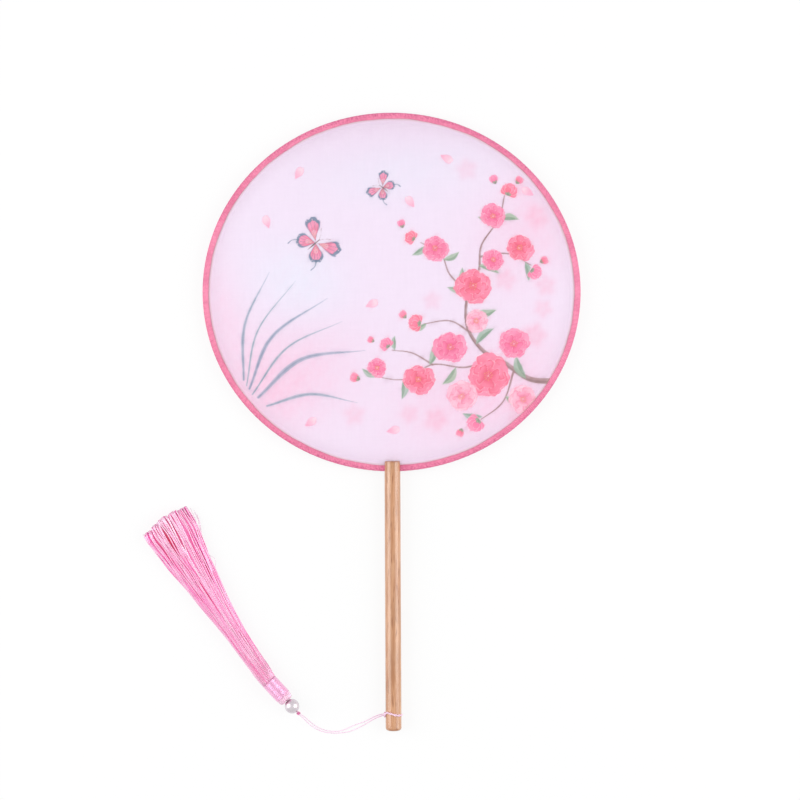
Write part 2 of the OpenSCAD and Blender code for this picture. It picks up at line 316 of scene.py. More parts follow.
def wood_grain():
    """Long fibres, darker growth bands and short flecks, along Y."""
    s, given = effect(
        "grain", {"Vector": "Vector", "Light": "Color", "Dark": "Color", "Fleck": "Color",
                  "Flecks": "Float"},
        {"Color": "Color", "Height": "Float", "Roughness": "Float"})
    fibre, band, cloud, dashes = (
        s.drawn_noise(given["Vector"], (1.0, along, 1.0), *noise_inputs)
        for along, *noise_inputs in ((0.045, 1500.0, 4.0, 0.6), (0.09, 420.0),
                                     (0.25, 130.0, 2.0), (0.07, 1300.0, 1.0)))
    base = s.mix(s.spread(band, 0.34, 0.66), given["Light"], given["Dark"])
    tinted = s.mix(s.math("MULTIPLY", s.spread(fibre, 0.35, 0.75), 0.45), base, given["Dark"])
    fleck = s.math("MULTIPLY", s.spread(dashes, 0.6, 0.72), given["Flecks"])
    return s.give(
        Color=s.scale(s.mix(fleck, tinted, given["Fleck"]),
                      s.spread(cloud, 0.3, 0.7, 0.9, 1.08)),
        Height=s.math("SUBTRACT", fibre, s.math("MULTIPLY", fleck, 0.5)),
        Roughness=s.spread(fibre, 0.3, 0.7, 0.34, 0.5))


EFFECTS = {"weave": plain_weave, "twist": ply_twist, "tone": soft_tone, "grain": wood_grain}


def use(sketch, name, **inputs):
    """Places a shared effect in a material and gives its outputs."""
    tree = bpy.data.node_groups.get(name) or EFFECTS[name]()
    return sketch.add("ShaderNodeGroup", inputs, node_tree=tree).outputs


def new_material(name):
    """A material with no nodes yet, and the sketch that adds them."""
    material = bpy.data.materials.new(name)
    material.use_nodes = True
    material.node_tree.nodes.clear()
    return material, Sketch(material.node_tree)


def principled(name, build):
    """A material whose Principled shader is set by build(sketch), which gives its inputs."""
    material, sketch = new_material(name)
    shader = sketch.add("ShaderNodeBsdfPrincipled", build(sketch))
    sketch.add("ShaderNodeOutputMaterial", {"Surface": shader.outputs[0]})
    return material


def silk_material(settings):
    def build(s):
        place = s.place()
        weave = use(s, "weave", Vector=place, Pitch=settings.weave)
        slub = s.drawn_noise(place, (1.0, 0.06, 1.0), 900.0)
        streak = s.drawn_noise(place, (0.06, 1.0, 1.0), 900.0)
        yarns = s.spread(s.math("ADD", slub, streak), 0.7, 1.3, 0.982, 1.018)
        half = (1 / FACE_HALF.x, 1 / FACE_HALF.y, 0.0)
        offset = s.vector("MULTIPLY", s.vector("SUBTRACT", place, FACE_MIDDLE[:]), half)
        reach = s.add("ShaderNodeVectorMath", {0: offset}, operation="LENGTH").outputs["Value"]
        glue = s.math("MULTIPLY", s.spread(reach, 0.954, 0.966), 0.4)
        covered = s.math("MAXIMUM", s.attribute("ink"), s.attribute("glued"))
        cover = s.math("ADD", 0.62, s.math("MULTIPLY", covered, 0.3))
        return {
            # The print's colours also hold painted shade just inside the rim.
            "Base Color": s.mix(glue, s.scale(s.attribute("print", "Color"), yarns),
                                dye(206, 166, 150)),
            "Alpha": s.math("SUBTRACT", cover, s.math("MULTIPLY", weave["Open"], 0.14)),
            "Roughness": s.spread(slub, 0.3, 0.7, 0.5, 0.66),
            "Sheen Weight": 0.2, "Sheen Roughness": 0.4,
            "Normal": s.bump(weave["Height"], 0.00004, 0.5)}
    return principled("printed silk", build)


def tape_material(settings):
    def build(s):
        fold, map_place, place = s.attribute("fold"), s.place("UV"), s.place()
        weave = use(s, "weave", Vector=map_place, Pitch=0.00036)
        # Painted shade: the tape takes the fold colour along its outer fold, most at the face's top
        # and bottom.
        colour = s.mix(fold, rgba(settings.colour), rgba(settings.edge))
        cloud = s.math("MULTIPLY", s.spread(s.noise(place, 90.0), 0.4, 0.7), 0.5)
        patchy = s.mix(cloud, colour, rgba(settings.edge))
        # Painted shade: dark pink in the hollows of the wrinkles and beside the handle.
        dark = s.mix(s.math("MULTIPLY", s.attribute("crease_shade"), 0.7), patchy,
                     dye(204, 62, 112))
        axes = s.axes(map_place)
        slanted = s.add("ShaderNodeCombineXYZ", {
            0: s.math("ADD", axes[0], axes[1]), 1: s.math("SUBTRACT", axes[0], axes[1])})
        fleck = s.spread(s.drawn_noise(slanted.outputs[0], (1.0, 0.5, 1.0), 850.0, 2.0),
                         0.4, 0.62)
        crushed = s.mix(fleck, dye(252, 150, 184), dye(184, 60, 114))
        flecked = s.mix(s.spread(fold, 0.12, 0.5, 0.08, 0.6), dark, crushed)
        fuzz = s.noise(place, 5200.0, 2.0)
        return {
            "Base Color": use(s, "tone", Color=flecked, Vector=place, Scale=420.0,
                              Amount=0.16)["Color"],
            "Roughness": s.spread(fuzz, 0.3, 0.7, 0.45, 0.65),
            "Sheen Weight": 0.4, "Sheen Roughness": 0.35,
            "Normal": s.bump(s.math("ADD", weave["Height"], fuzz), 0.00006, 0.8)}
    return principled("binding tape", build)


def handle_material(settings):
    def build(s):
        place = s.place()
        grain = use(s, "grain", Vector=place, Light=rgba(settings.handle_light),
                    Dark=rgba(settings.handle_dark), Fleck=dye(146, 84, 44), Flecks=0.85)
        end = s.math("ABSOLUTE", s.math("SUBTRACT", s.axes(place)[1], HANDLE_MIDDLE_Y))
        ragged = s.math("ADD", end, s.math("MULTIPLY", s.noise(place, 700.0, 2.0), 0.0022))
        # Darker towards both ends of the handle.
        darker_at_ends = s.spread(ragged, HANDLE_HALF_L - 0.0008, HANDLE_HALF_L + 0.001)
        return {
            "Base Color": s.mix(s.math("MULTIPLY", darker_at_ends, 0.75), grain["Color"],
                                dye(160, 90, 46)),
            "Roughness": grain["Roughness"],
            "Specular IOR Level": 0.7, "Coat Weight": 1.0, "Coat Roughness": 0.16,
            "Normal": s.bump(grain["Height"], 0.00006, 0.7)}
    return principled("beech", build)


def bamboo_material(settings):
    def build(s):
        turned = s.add("ShaderNodeMapping", {
            "Vector": s.place(), "Rotation": (0, 0, math.radians(90))}).outputs[0]
        grain = use(s, "grain", Vector=turned, Light=rgba(settings.bamboo),
                    Dark=dye(186, 150, 104), Fleck=dye(140, 104, 66), Flecks=0.4)
        return {
            "Base Color": grain["Color"], "Roughness": grain["Roughness"],
            "Normal": s.bump(grain["Height"], 0.00005, 0.5)}
    return principled("bamboo", build)


def thread_material(name, colour, deep, lay, roughness, gloss, ridge=0.3, satin=0.0, coat=0.0,
                    sheen=0.7):
    """Glossy twisted thread. The attribute tone mixes in the deep colour, as each thread's own
    shade and as painted shade; the twist's furrows take painted shade of the deep colour too.
    """
    def build(s):
        ply = use(s, "twist", UV=s.place("UV"), Lay=lay, Plies=2.0)["Height"]
        base = s.mix(s.attribute("tone"), rgba(colour), rgba(deep))
        # Painted shade: the twist's furrows take the deep colour.
        furrow_shade = s.math("MULTIPLY", s.math("SUBTRACT", 1.0, ply), ridge)
        return {
            "Base Color": use(s, "tone", Color=s.mix(furrow_shade, base, rgba(deep)),
                              Vector=s.place(), Scale=240.0, Amount=0.1)["Color"],
            "Roughness": s.spread(ply, 0, 1, roughness + 0.08, roughness - 0.06),
            "Specular IOR Level": gloss, "Metallic": satin,
            "Coat Weight": coat, "Coat Roughness": 0.22,
            "Sheen Weight": sheen, "Sheen Roughness": 0.4,
            "Sheen Tint": (1.0, 0.72, 0.88, 1.0),
            "Normal": s.bump(ply, 0.00005, min(0.5, 1.5 * ridge))}
    return principled(name, build)


def pearl_material(settings):
    def build(s):
        cloud = s.noise(s.place(), 260.0)
        facing = s.add("ShaderNodeLayerWeight", {"Blend": 0.35}).outputs["Facing"]
        milk = s.mix(s.spread(cloud, 0.35, 0.65), rgba(settings.colour), dye(222, 212, 220))
        return {
            # Painted shade: the bead darkens towards its outline, as its surface turns from the
            # camera.
            "Base Color": s.mix(s.math("MULTIPLY", facing, 0.8), milk, dye(184, 172, 184)),
            "Roughness": s.spread(cloud, 0.3, 0.7, 0.3, 0.38), "Metallic": 0.55,
            "Coat Weight": 0.8, "Coat Roughness": 0.3,
            "Normal": s.bump(cloud, 0.00003, 0.3)}
    return principled("pearl", build)


# Meshes

def placed(name, data):
    """A new object in the scene, with the given data."""
    made = bpy.data.objects.new(name, data)
    bpy.context.scene.collection.objects.link(made)
    return made


def dress(mesh, material):
    """Gives a mesh its one material."""
    mesh.materials.clear()
    mesh.materials.append(material)


def new_piece(mesh, body, material, finish, *stands_for):
    """A piece of the fan, named as its mesh, that rides on a body and replaces CAD nodes."""
    piece = placed(mesh.name, mesh)
    dress(mesh, material)
    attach(piece, body)
    if stands_for:
        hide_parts(*stands_for)
    return piece


def finish_mesh(bm, mesh, smooth=True):
    """Writes a bmesh to a mesh and frees it."""
    for face in bm.faces:
        face.smooth = smooth
    bm.to_mesh(mesh)
    bm.free()
    return mesh


def mapped_grid(x_segments, y_segments):
    """A grid from -0.5 to 0.5 each way, and its map, to be wrapped into a tube."""
    bm = bmesh.new()
    uv = bm.loops.layers.uv.new("UVMap")
    bmesh.ops.create_grid(bm, x_segments=x_segments, y_segments=y_segments, size=0.5,
                          calc_uvs=True)
    return bm, uv


def close_grid(bm, uv, map_size, reach):
    """Gives a wrapped grid's map its size, joins its seams within reach and fills its ends."""
    for face in bm.faces:
        for loop in face.loops:
            loop[uv].uv = (loop[uv].uv.x * map_size[0], loop[uv].uv.y * map_size[1])
    bmesh.ops.remove_doubles(bm, verts=[v for v in bm.verts if v.is_boundary], dist=reach)
    bmesh.ops.holes_fill(bm, edges=[e for e in bm.edges if e.is_boundary], sides=0)
    bmesh.ops.recalc_face_normals(bm, faces=bm.faces[:])


def keep_values(mesh, name, values):
    """Keeps a number for each point of a mesh, for its material to read."""
    mesh.attributes.new(name, "FLOAT", "POINT").data.foreach_set("value", values)


def bell(offset, width):
    """1 in the middle, falling smoothly to 0 beyond a width or two."""
    return np.exp(-(offset / width) ** 2)


def hump(share, start, stop):
    """A smooth rise and fall between two shares of a length."""
    return np.sin(math.pi * np.clip((share - start) / (stop - start), 0, 1))


def ease(value, low, high):
    """0 below low, 1 above high and smooth between them."""
    t = np.clip((value - low) / (high - low), 0, 1)
    return t * t * (3 - 2 * t)


def unit(vectors):
    """The directions of an array of vectors."""
    return vectors / np.linalg.norm(vectors, axis=1)[:, None]


def smooth_route(points, count):
    """Evenly spaced points on a smooth curve through the given ones."""
    knots = np.asarray(points, float)
    padded = np.vstack([2 * knots[0] - knots[1], knots, 2 * knots[-1] - knots[-2]])
    fine = []
    for a, b, c, d in zip(padded, padded[1:], padded[2:], padded[3:]):
        for t in np.linspace(0, 1, 12, endpoint=False):
            fine.append(0.5 * (2 * b + (c - a) * t + (2 * a - 5 * b + 4 * c - d) * t ** 2
                               + (3 * b - a - 3 * c + d) * t ** 3))
    fine = np.array(fine + [knots[-1]])
    steps = steps_along(fine)
    wanted = np.linspace(0, steps[-1], count)
    return np.column_stack([np.interp(wanted, steps, fine[:, i]) for i in range(3)])


def steps_along(route):
    """How far each point of a route lies along it."""
    return np.concatenate([[0], np.cumsum(np.linalg.norm(np.diff(route, axis=0), axis=1))])


def side_vectors(route):
    """Two unit vectors square to a route at each of its points, that don't spin along it."""
    heads = unit(np.gradient(route, axis=0))
    first = np.cross(heads[0], (0.3, 0.2, 1.0))
    first /= np.linalg.norm(first)
    sides = [first]
    for head in heads[1:]:
        side = sides[-1] - head * sides[-1].dot(head)
        sides.append(side / np.linalg.norm(side))
    sides = np.array(sides)
    return sides, np.cross(heads, sides)


def twisted(route, plies, radius, lay, phase=0.0):
    """Routes of the plies of a cord that twist round the given route."""
    first, second = side_vectors(route)
    steps = steps_along(route)
    found = []
    for ply in range(plies):
        angle = phase + 2 * math.pi * (ply / plies + steps / lay)
        found.append(route + radius * (np.cos(angle)[:, None] * first
                                       + np.sin(angle)[:, None] * second))
    return found


def thread_mesh(name, routes, thickness, tones, sides=6, taper=(1, 1, 1), outward=None,
                inward_shade=0.0):
    """One mesh of round threads along routes. Its map runs along each thread in metres and
    once round it, and the tones given for each thread are kept as tone. The taper gives the shares
    of the thickness at the start, middle and end. Where outward directions are given, the sides
    turned away from them take up to the given share of the deep colour as painted shade."""
    curve = bpy.data.curves.new(name, "CURVE")
    curve.dimensions = "3D"
    curve.bevel_depth = thickness / 2
    curve.bevel_resolution = sides // 2 - 2
    curve.twist_mode = "MINIMUM"
    for route in routes:
        spline = curve.splines.new("POLY")
        spline.points.add(len(route) - 1)
        spline.points.foreach_set("co", np.column_stack([route, np.ones(len(route))]).ravel())
        spline.points.foreach_set(
            "radius", np.interp(np.linspace(0, 1, len(route)), (0, 0.5, 1), taper))
    holder = placed(name, curve)
    graph = bpy.context.evaluated_depsgraph_get()
    mesh = bpy.data.meshes.new_from_object(holder.evaluated_get(graph))
    bpy.data.objects.remove(holder)
    bpy.data.curves.remove(curve)
    mesh.name = name

    counts = [len(route) for route in routes]
    if len(mesh.vertices) != sides * sum(counts):
        raise RuntimeError(f"{name}: {len(mesh.vertices)} vertices, not {sides * sum(counts)}")
    tones = np.concatenate([np.full(count, tone) for tone, count in zip(tones, counts)])
    tones = np.repeat(tones, sides)
    if outward is not None:
        place = np.empty(3 * len(mesh.vertices))
        mesh.vertices.foreach_get("co", place)
        off = place.reshape(-1, 3) - np.repeat(np.vstack(routes), sides, axis=0)
        facing = np.sum(unit(off) * np.repeat(np.vstack(outward), sides, axis=0), axis=1)
        # Painted shade on the sides turned away from the outward directions.
        tones = np.clip(tones + inward_shade * (1 - facing) ** 1.5, 0, 1)
    keep_values(mesh, "tone", tones)
    along = np.concatenate([steps_along(route) for route in routes])
    corners = np.empty(len(mesh.loops), int)
    mesh.loops.foreach_get("vertex_index", corners)
    around = (corners % sides).reshape(-1, 4)
    at_seam = np.ptp(around, axis=1) == sides - 1
    around = np.where(at_seam[:, None] & (around == 0), sides, around)
    uv = np.column_stack([along[corners // sides], around.ravel() / sides])
    mesh.uv_layers[0].data.foreach_set("uv", uv.ravel())

    bm = bmesh.new()
    bm.from_mesh(mesh)
    bmesh.ops.holes_fill(bm, edges=[e for e in bm.edges if e.is_boundary], sides=sides)
    return finish_mesh(bm, mesh)


def at_knot(points):
    """Points given across, along and up from the knot's middle, in the fan's frame."""
    p = np.asarray(points, float)
    return (np.array(KNOT) + p[:, :1] * np.array(ACROSS) + p[:, 1:2] * np.array(ALONG)
            + p[:, 2:] * np.array((0, 0, 1.0)))


# Print on the silk

PRINT_SEED = 12
PUCKER = 0.05 * MM
# Colours of the print, in the usual 0 to 255 steps
SILK_GROUND = np.array((247.0, 230.5, 250.5))
SILK_BLUSH = np.array((253.0, 202, 230))
CORAL = np.array((250.0, 104, 132))
ROSE = np.array((255.0, 158, 192))
ROSE_DEEP = np.array((250.0, 112, 160))
SHELL = np.array((255.0, 214, 228))
WINE = np.array((214.0, 48, 88))
SAGE = np.array((164.0, 186, 160))
MOSS = np.array((120.0, 146, 124))
SLATE = np.array((112.0, 138, 168))
TEAL = np.array((140.0, 178, 186))
TWIG = np.array((168.0, 132, 134))
CREAM = np.array((255.0, 236, 206))
AMBER = np.array((240.0, 176, 96))


class SilkPaint:
    """Glazes of colour at points of the silk, in millimetres from its middle. Every mark is
    widened by grow, which finds the cells near the marks."""

    def __init__(self, x, y, grow=0.0):
        self.x, self.y, self.grow = x, y, grow
        self.rgb = np.tile(SILK_GROUND, (len(x), 1))
        self.ink = np.zeros(len(x))
        self.pool = sum(np.sin(x * a + y * b + c) for a, b, c in (
            (0.31, 0.17, 0.4), (-0.23, 0.36, 2.2), (0.52, -0.41, 4.0), (0.83, 0.62, 1.1),
            (-0.71, 1.13, 5.2), (1.37, -0.3, 3.3))) / 6

    def near(self, middle, reach):
        reach = reach + self.grow
        return np.nonzero((abs(self.x - middle[0]) < reach) & (abs(self.y - middle[1]) < reach))[0]

    def lay(self, found, cover, colour):
        cover = np.clip(cover, 0, 1)
        self.rgb[found] += cover[:, None] * (colour - self.rgb[found])
        self.ink[found] = np.maximum(self.ink[found], cover)

    def wash(self, middle, size, turn, colour, strength):
        """A wide soft cloud of colour, without a drawn edge."""
        dx, dy = self.x - middle[0], self.y - middle[1]
        c, t = math.cos(turn), math.sin(turn)
        q = ((dx * c + dy * t) / size[0]) ** 2 + ((dy * c - dx * t) / size[1]) ** 2
        cover = strength * np.exp(-q) * (1 + 0.35 * self.pool)
        self.rgb += np.clip(cover, 0, 1)[:, None] * (colour - self.rgb)

    def petal(self, root, turn, length, width, base, tip, cover=0.9, full=1.0, ruffle=0.0,
              rim=0.5):
        """One petal from its root outwards: wet colour pools at its rim and fades at its heart."""
        middle = (root[0] + math.cos(turn) * length / 2, root[1] + math.sin(turn) * length / 2)
        found = self.near(middle, 0.5 * length + 0.5 * width)
        dx, dy = self.x[found] - root[0], self.y[found] - root[1]
        u = (dx * math.cos(turn) + dy * math.sin(turn)) / length
        v = (dy * math.cos(turn) - dx * math.sin(turn)) / width * 2
        wave = ruffle * (np.sin(v * 5.3 + turn * 7) + 0.6 * np.sin(v * 11 + turn * 13))
        far = np.clip(u * (1 + wave), 0, 1)
        half = np.clip(np.sin(math.pi * far ** (1.25 * full)), 0, 1) ** 0.6
        depth = (half - abs(v)) * width / 2 + self.grow
        ends = np.minimum(u, 1 - u * (1 + wave)) * length + self.grow
        inside = ease(np.minimum(depth, ends + 0.3), -0.15, 0.22)
        mix = np.clip(ease(u, 0.0, 0.95) + 0.3 * self.pool[found], 0, 1)[:, None]
        colour = base + (tip - base) * mix
        deep = base * 0.94 + WINE * 0.06
        pooled = rim * np.exp(-(depth / (0.3 + 0.05 * width)) ** 2)[:, None]
        veins = 0.12 * ease(np.cos(v * 9 + 3 * u), 0.4, 1.0)[:, None] * (1 - mix)
        colour = colour + (deep - colour) * np.clip(pooled * (0.4 + mix) + veins, 0, 1)
        self.lay(found, inside * cover * (1 + 0.12 * self.pool[found]), colour)

    def halo(self, root, turn, length, width, full=1.0, cover=0.55):
        """Pale gap that the brush leaves round a petal."""
        grown, self.grow = self.grow, self.grow + 0.42
        self.petal(root, turn, length, width, SHELL, SHELL, cover, full, rim=0)
        self.grow = grown

    def stroke(self, points, widths, colour, cover=0.85, dry=0.0):
        """A brush stroke through points, with a width at each end and in its middle."""
        line = smooth_route([(*p, 0.0) for p in points], 64)[:, :2]
        spread = np.interp(np.linspace(0, 1, len(line)), np.linspace(0, 1, len(widths)), widths)
        middle = line.mean(axis=0)
        found = self.near(middle, np.abs(line - middle).max() + max(widths))
        if not len(found):
            return
        px, py = self.x[found][:, None], self.y[found][:, None]
        start, step = line[:-1], np.diff(line, axis=0)
        share = np.clip(((px - start[:, 0]) * step[:, 0] + (py - start[:, 1]) * step[:, 1])
                        / (step ** 2).sum(axis=1), 0, 1)
        gap = np.hypot(px - start[:, 0] - share * step[:, 0], py - start[:, 1] - share * step[:, 1])
        gap -= (spread[:-1] + (spread[1:] - spread[:-1]) * share) / 2
        best = gap.argmin(axis=1)
        depth = self.grow - gap[np.arange(len(found)), best]
        fade = (1 - dry * (best / len(line)) ** 2) * (1 + 0.25 * self.pool[found])
        self.lay(found, ease(depth, -0.16, 0.2) * cover * fade, colour)

    def blade(self, root, turn, length, width, bend, light, dark):
        """A slender leaf, one half of it darker, with a pale rib."""
        tip = (root[0] + length * math.cos(turn), root[1] + length * math.sin(turn))
        side = (-math.sin(turn), math.cos(turn))
        mid = ((root[0] + tip[0]) / 2 + side[0] * bend, (root[1] + tip[1]) / 2 + side[1] * bend)
        shape = (0.3, width * 0.75, width, width * 0.6, 0.1)
        self.stroke((root, mid, tip), shape, light, 0.8)
        low = tuple(m - s * width * 0.22 for m, s in zip(mid, side))
        self.stroke((root, low, tip), [w * 0.5 for w in shape], dark, 0.5)
        self.stroke((root, mid, tip), (0.22, 0.3, 0.1), light * 0.5 + CREAM * 0.5, 0.5)


def blossom(paint, middle, size, turn, chance, tint):
    """An open camellia: ruffled outer petals, cupped inner ones and a tuft of stamens."""
    base, tip = tint
    rows = ((6, 1.0, 1.25, 1.35, 0.0), (5, 0.78, 1.3, 1.3, 0.35), (4, 0.5, 1.4, 1.25, 0.7))
    for row, (count, reach, wide, full, dark) in enumerate(rows):
        order = list(range(count))
        chance.shuffle(order)
        for k in order:
            angle = turn + 2 * math.pi * (k + 0.5 * (row % 2)) / count + chance.uniform(-0.22, 0.22)
            length = size / 2 * reach * chance.uniform(0.86, 1.12)
            width = (size * reach * math.sin(math.pi / count) * wide
                     * chance.uniform(0.9, 1.1))
            shade = tip + (base - tip) * (0.25 + 0.5 * dark + chance.uniform(-0.2, 0.2))
            heart = base + (WINE - base) * (0.15 + 0.3 * dark)
            paint.halo(middle, angle, length, width, full, 0.5 - 0.15 * dark)
            paint.petal(middle, angle, length, width, heart, shade, 0.86, full, 0.035)
    for k in range(11):
        angle = turn + 2 * math.pi * k / 11
        reach = size * chance.uniform(0.06, 0.12)
        near, spot = ((middle[0] + far * math.cos(angle), middle[1] + far * math.sin(angle))
                      for far in (0.85 * reach, reach))
        paint.stroke((middle, spot), (0.1, 0.16), CREAM, 0.55)
        paint.stroke((near, spot), (0.5, 0.5), AMBER, 0.75)


def side_blossom(paint, middle, size, turn, chance, tint):
    """A camellia seen from its side, its petals cupped over the calyx."""
    base, tip = tint
    for swing, reach, wide in ((-0.95, 0.72, 0.5), (0.95, 0.72, 0.5), (-0.5, 0.92, 0.55),
                               (0.5, 0.92, 0.55), (0.0, 1.0, 0.62), (-0.22, 0.78, 0.42),
                               (0.26, 0.7, 0.4)):
        shade = tip + (base - tip) * chance.uniform(0.1, 0.8)
        length = size * reach * 0.8
        paint.halo(middle, turn + swing, length, size * wide, 1.3, 0.5)
        paint.petal(middle, turn + swing, length, size * wide, base, shade, 0.86, 1.3, 0.03)
    for swing in (-0.9, 0.0, 0.9):
        paint.petal(middle, turn + swing, size * 0.24, size * 0.16, MOSS, SAGE, 0.85)


def bud(paint, root, turn, size, tint):
    """A closed bud on its calyx."""
    base, tip = tint
    for swing in (-0.3, 0.3, 0.0):
        paint.petal(root, turn + swing, size, size * 0.55, base, tip, 0.88)
    for swing in (-0.5, 0.5):
        paint.petal(root, turn + swing, size * 0.42, size * 0.24, MOSS, SAGE, 0.85)


def butterfly(paint, middle, size, turn):
    """A swallow-tailed butterfly with its wings open."""
    def at(angle, reach):
        return (middle[0] + math.cos(angle) * reach * size,
                middle[1] + math.sin(angle) * reach * size)
    for side in (-1, 1):
        hind, fore = turn + side * 2.25, turn + side * 1.02
        for wing, reach, wide, full in ((hind, 0.8, 0.6, 1.5), (fore, 1.05, 0.62, 2.1)):
            paint.petal(middle, wing, size * reach, size * wide, SLATE, SLATE * 0.85, 0.8, full,
                        0.03)
            paint.petal(at(wing, 0.04), wing, size * reach * 0.82, size * wide * 0.74, CORAL, ROSE,
                        0.92, full * 0.92, 0.02, rim=0.25)
            paint.petal(at(wing, 0.1), wing, size * reach * 0.42, size * wide * 0.34, CREAM, SHELL,
                        0.5, full, rim=0.1)
            for fan in (-0.3, -0.1, 0.1, 0.3):
                paint.stroke((at(wing + fan * 0.5, 0.12), at(wing + fan, reach * 0.8)),
                             (0.14, 0.3), SLATE * 0.8, 0.5)
            for fan in (-0.24, 0.0, 0.24):
                spot = at(wing + fan, reach * 0.9)
                paint.stroke((spot, at(wing + fan, reach * 0.93)), (0.55, 0.5), SHELL, 0.8)
        paint.stroke((at(hind, 0.7), at(hind + side * 0.06, 0.95), at(hind + side * 0.2, 1.12)),
                     (1.0, 0.5, 0.8), SLATE * 0.85, 0.75)
        paint.stroke((at(turn, 0.15), at(turn + side * 0.3, 0.4), at(turn + side * 0.5, 0.62)),
                     (0.22, 0.16, 0.4), TWIG * 0.8, 0.8)
    paint.stroke((at(turn, 0.2), middle, at(turn, -0.42)), (0.5, 1.1, 0.3), TWIG * 0.75, 0.9)


def paint_silk(x, y, half, grow=0.0):
    """The whole print, and painted shade just inside the rim. A camellia bough rises from the lower
    right, reeds stand at the left and two butterflies cross between them."""
    chance = random.Random(PRINT_SEED)
    paint = SilkPaint(x, y, grow)
    coral, rose = (CORAL, ROSE), (ROSE_DEEP, ROSE)
    pale = (ROSE, SHELL)
    mist = np.array((238.0, 240, 255))
    for cloud in (((-84, -66), (56, 34), 0.5, SILK_BLUSH, 0.8),
                  ((-122, -20), (20, 50), 0.2, SILK_BLUSH, 0.5),
                  ((96, 44), (44, 30), 0.9, SILK_BLUSH, 0.55),
                  ((66, -70), (60, 34), 0.3, SILK_BLUSH, 0.7),
                  ((0, 128), (120, 40), 0.0, (236, 208, 234), 0.55),
                  ((0, -128), (110, 24), 0.0, (242, 216, 240), 0.5),
                  ((-64, 8), (34, 26), -0.4, mist, 0.6), ((6, 84), (60, 22), 0.1, mist, 0.4)):
        paint.wash(*cloud)
    for px, py, size, strength in (
            (98, -30, 9, 0.5), (104, -12, 7, 0.4), (30, -88, 9, 0.45), (88, -84, 11, 0.5),
            (12, -84, 7, 0.35), (78, 8, 8, 0.4), (100, 52, 9, 0.45), (86, 70, 7, 0.35),
            (28, -6, 7, 0.3), (-26, -84, 8, 0.35), (106, 4, 8, 0.4), (52, 84, 8, 0.3)):
        for k in range(5):
            angle = 1.26 * k + px
            paint.wash((px + size * 0.55 * math.cos(angle), py + size * 0.55 * math.sin(angle)),
                       (size * 0.42, size * 0.34), angle, ROSE, strength * 0.62)
    # Painted shade: the silk turns a greyer lilac just inside the rim.
    distance = np.sqrt((x / half[0]) ** 2 + (y / half[1]) ** 2)
    rim = 0.34 * ease(distance, 0.875, 0.98)
    paint.rgb += rim[:, None] * (np.array((224.0, 200, 222)) - paint.rgb)

    for k, (root, mid, tip, width) in enumerate((
            ((-98, -66), (-82, -30), (-44, -4), 2.6), ((-92, -72), (-62, -46), (-18, -40), 3.2),
            ((-102, -60), (-101, -22), (-84, 14), 2.3), ((-86, -78), (-56, -70), (-24, -76), 2.4),
            ((-96, -70), (-72, -38), (-34, -20), 1.8), ((-100, -64), (-92, -26), (-66, 8), 1.5))):
        tint = SLATE + (TEAL - SLATE) * (0.15 + 0.16 * k)
        paint.stroke((root, mid, tip), (width * 0.6, width, width * 0.7, 0.3), tint, 0.6, dry=0.4)
        paint.stroke((root, mid, tip), (0.5, 0.7, 0.2), SLATE * 0.82, 0.35, dry=0.4)

    bough = ((112, -62), (94, -60), (76, -48), (62, -40), (52, -24), (52, -4), (60, 14), (62, 32),
             (74, 50), (78, 66))
    paint.stroke(bough, (4.2, 3.4, 2.8, 2.2, 1.9, 1.5, 1.1, 0.7), TWIG, 0.85)
    paint.stroke([(px - 0.5, py - 0.6) for px, py in bough], (1.8, 1.2, 0.8, 0.4), TWIG * 0.8, 0.5)
    for arm in (((72, -46), (50, -52), (28, -50), (8, -60), (-12, -58)),
                ((54, -28), (40, -20), (22, -22)), ((52, 0), (40, 12), (34, 26), (20, 34)),
                ((61, 24), (80, 26), (96, 18)), ((84, -54), (76, -76), (58, -90)),
                ((28, -50), (14, -42), (0, -40))):
        paint.stroke(arm, (1.7, 1.2, 0.9, 0.6), TWIG, 0.8)
        paint.stroke(arm, (0.5, 0.4, 0.3), TWIG * 0.8, 0.4)

    for px, py, turn, length, width, bend in (
            (92, -60, 1.9, 18, 6, 2), (68, -46, -0.9, 17, 6, -2), (44, -52, -2.2, 15, 5.2, 2),
            (26, -50, 1.3, 13, 4.8, -1.5), (8, -60, -1.7, 14, 5, 1.5),
            (-10, -58, 2.6, 12, 4.2, 1.3), (54, -14, 0.1, 18, 6, -2), (52, 2, 2.9, 14, 4.8, 1.4),
            (60, 18, -0.5, 15, 5.2, 1.5), (36, 22, 0.4, 12, 4.4, -1.2),
            (24, 32, -2.5, 12, 4.2, 1.2), (92, 20, -1.2, 13, 4.8, 1.2), (74, 50, -0.2, 14, 5, 1.6),
            (70, 44, 2.7, 13, 4.6, -1.4), (62, -86, 2.8, 14, 5, 1.4),
            (78, -72, -0.4, 15, 5.2, -1.5), (24, -22, -2.7, 11, 4, 1), (2, -40, 1.7, 10, 3.8, 1),
            (58, -36, 0.9, 16, 5.4, 1.8), (46, 6, 1.2, 11, 4, -1)):
        light = SAGE + (TEAL - SAGE) * chance.uniform(0, 0.4)
        paint.blade((px, py), turn + chance.uniform(-0.2, 0.2), length, width, bend, light, MOSS)

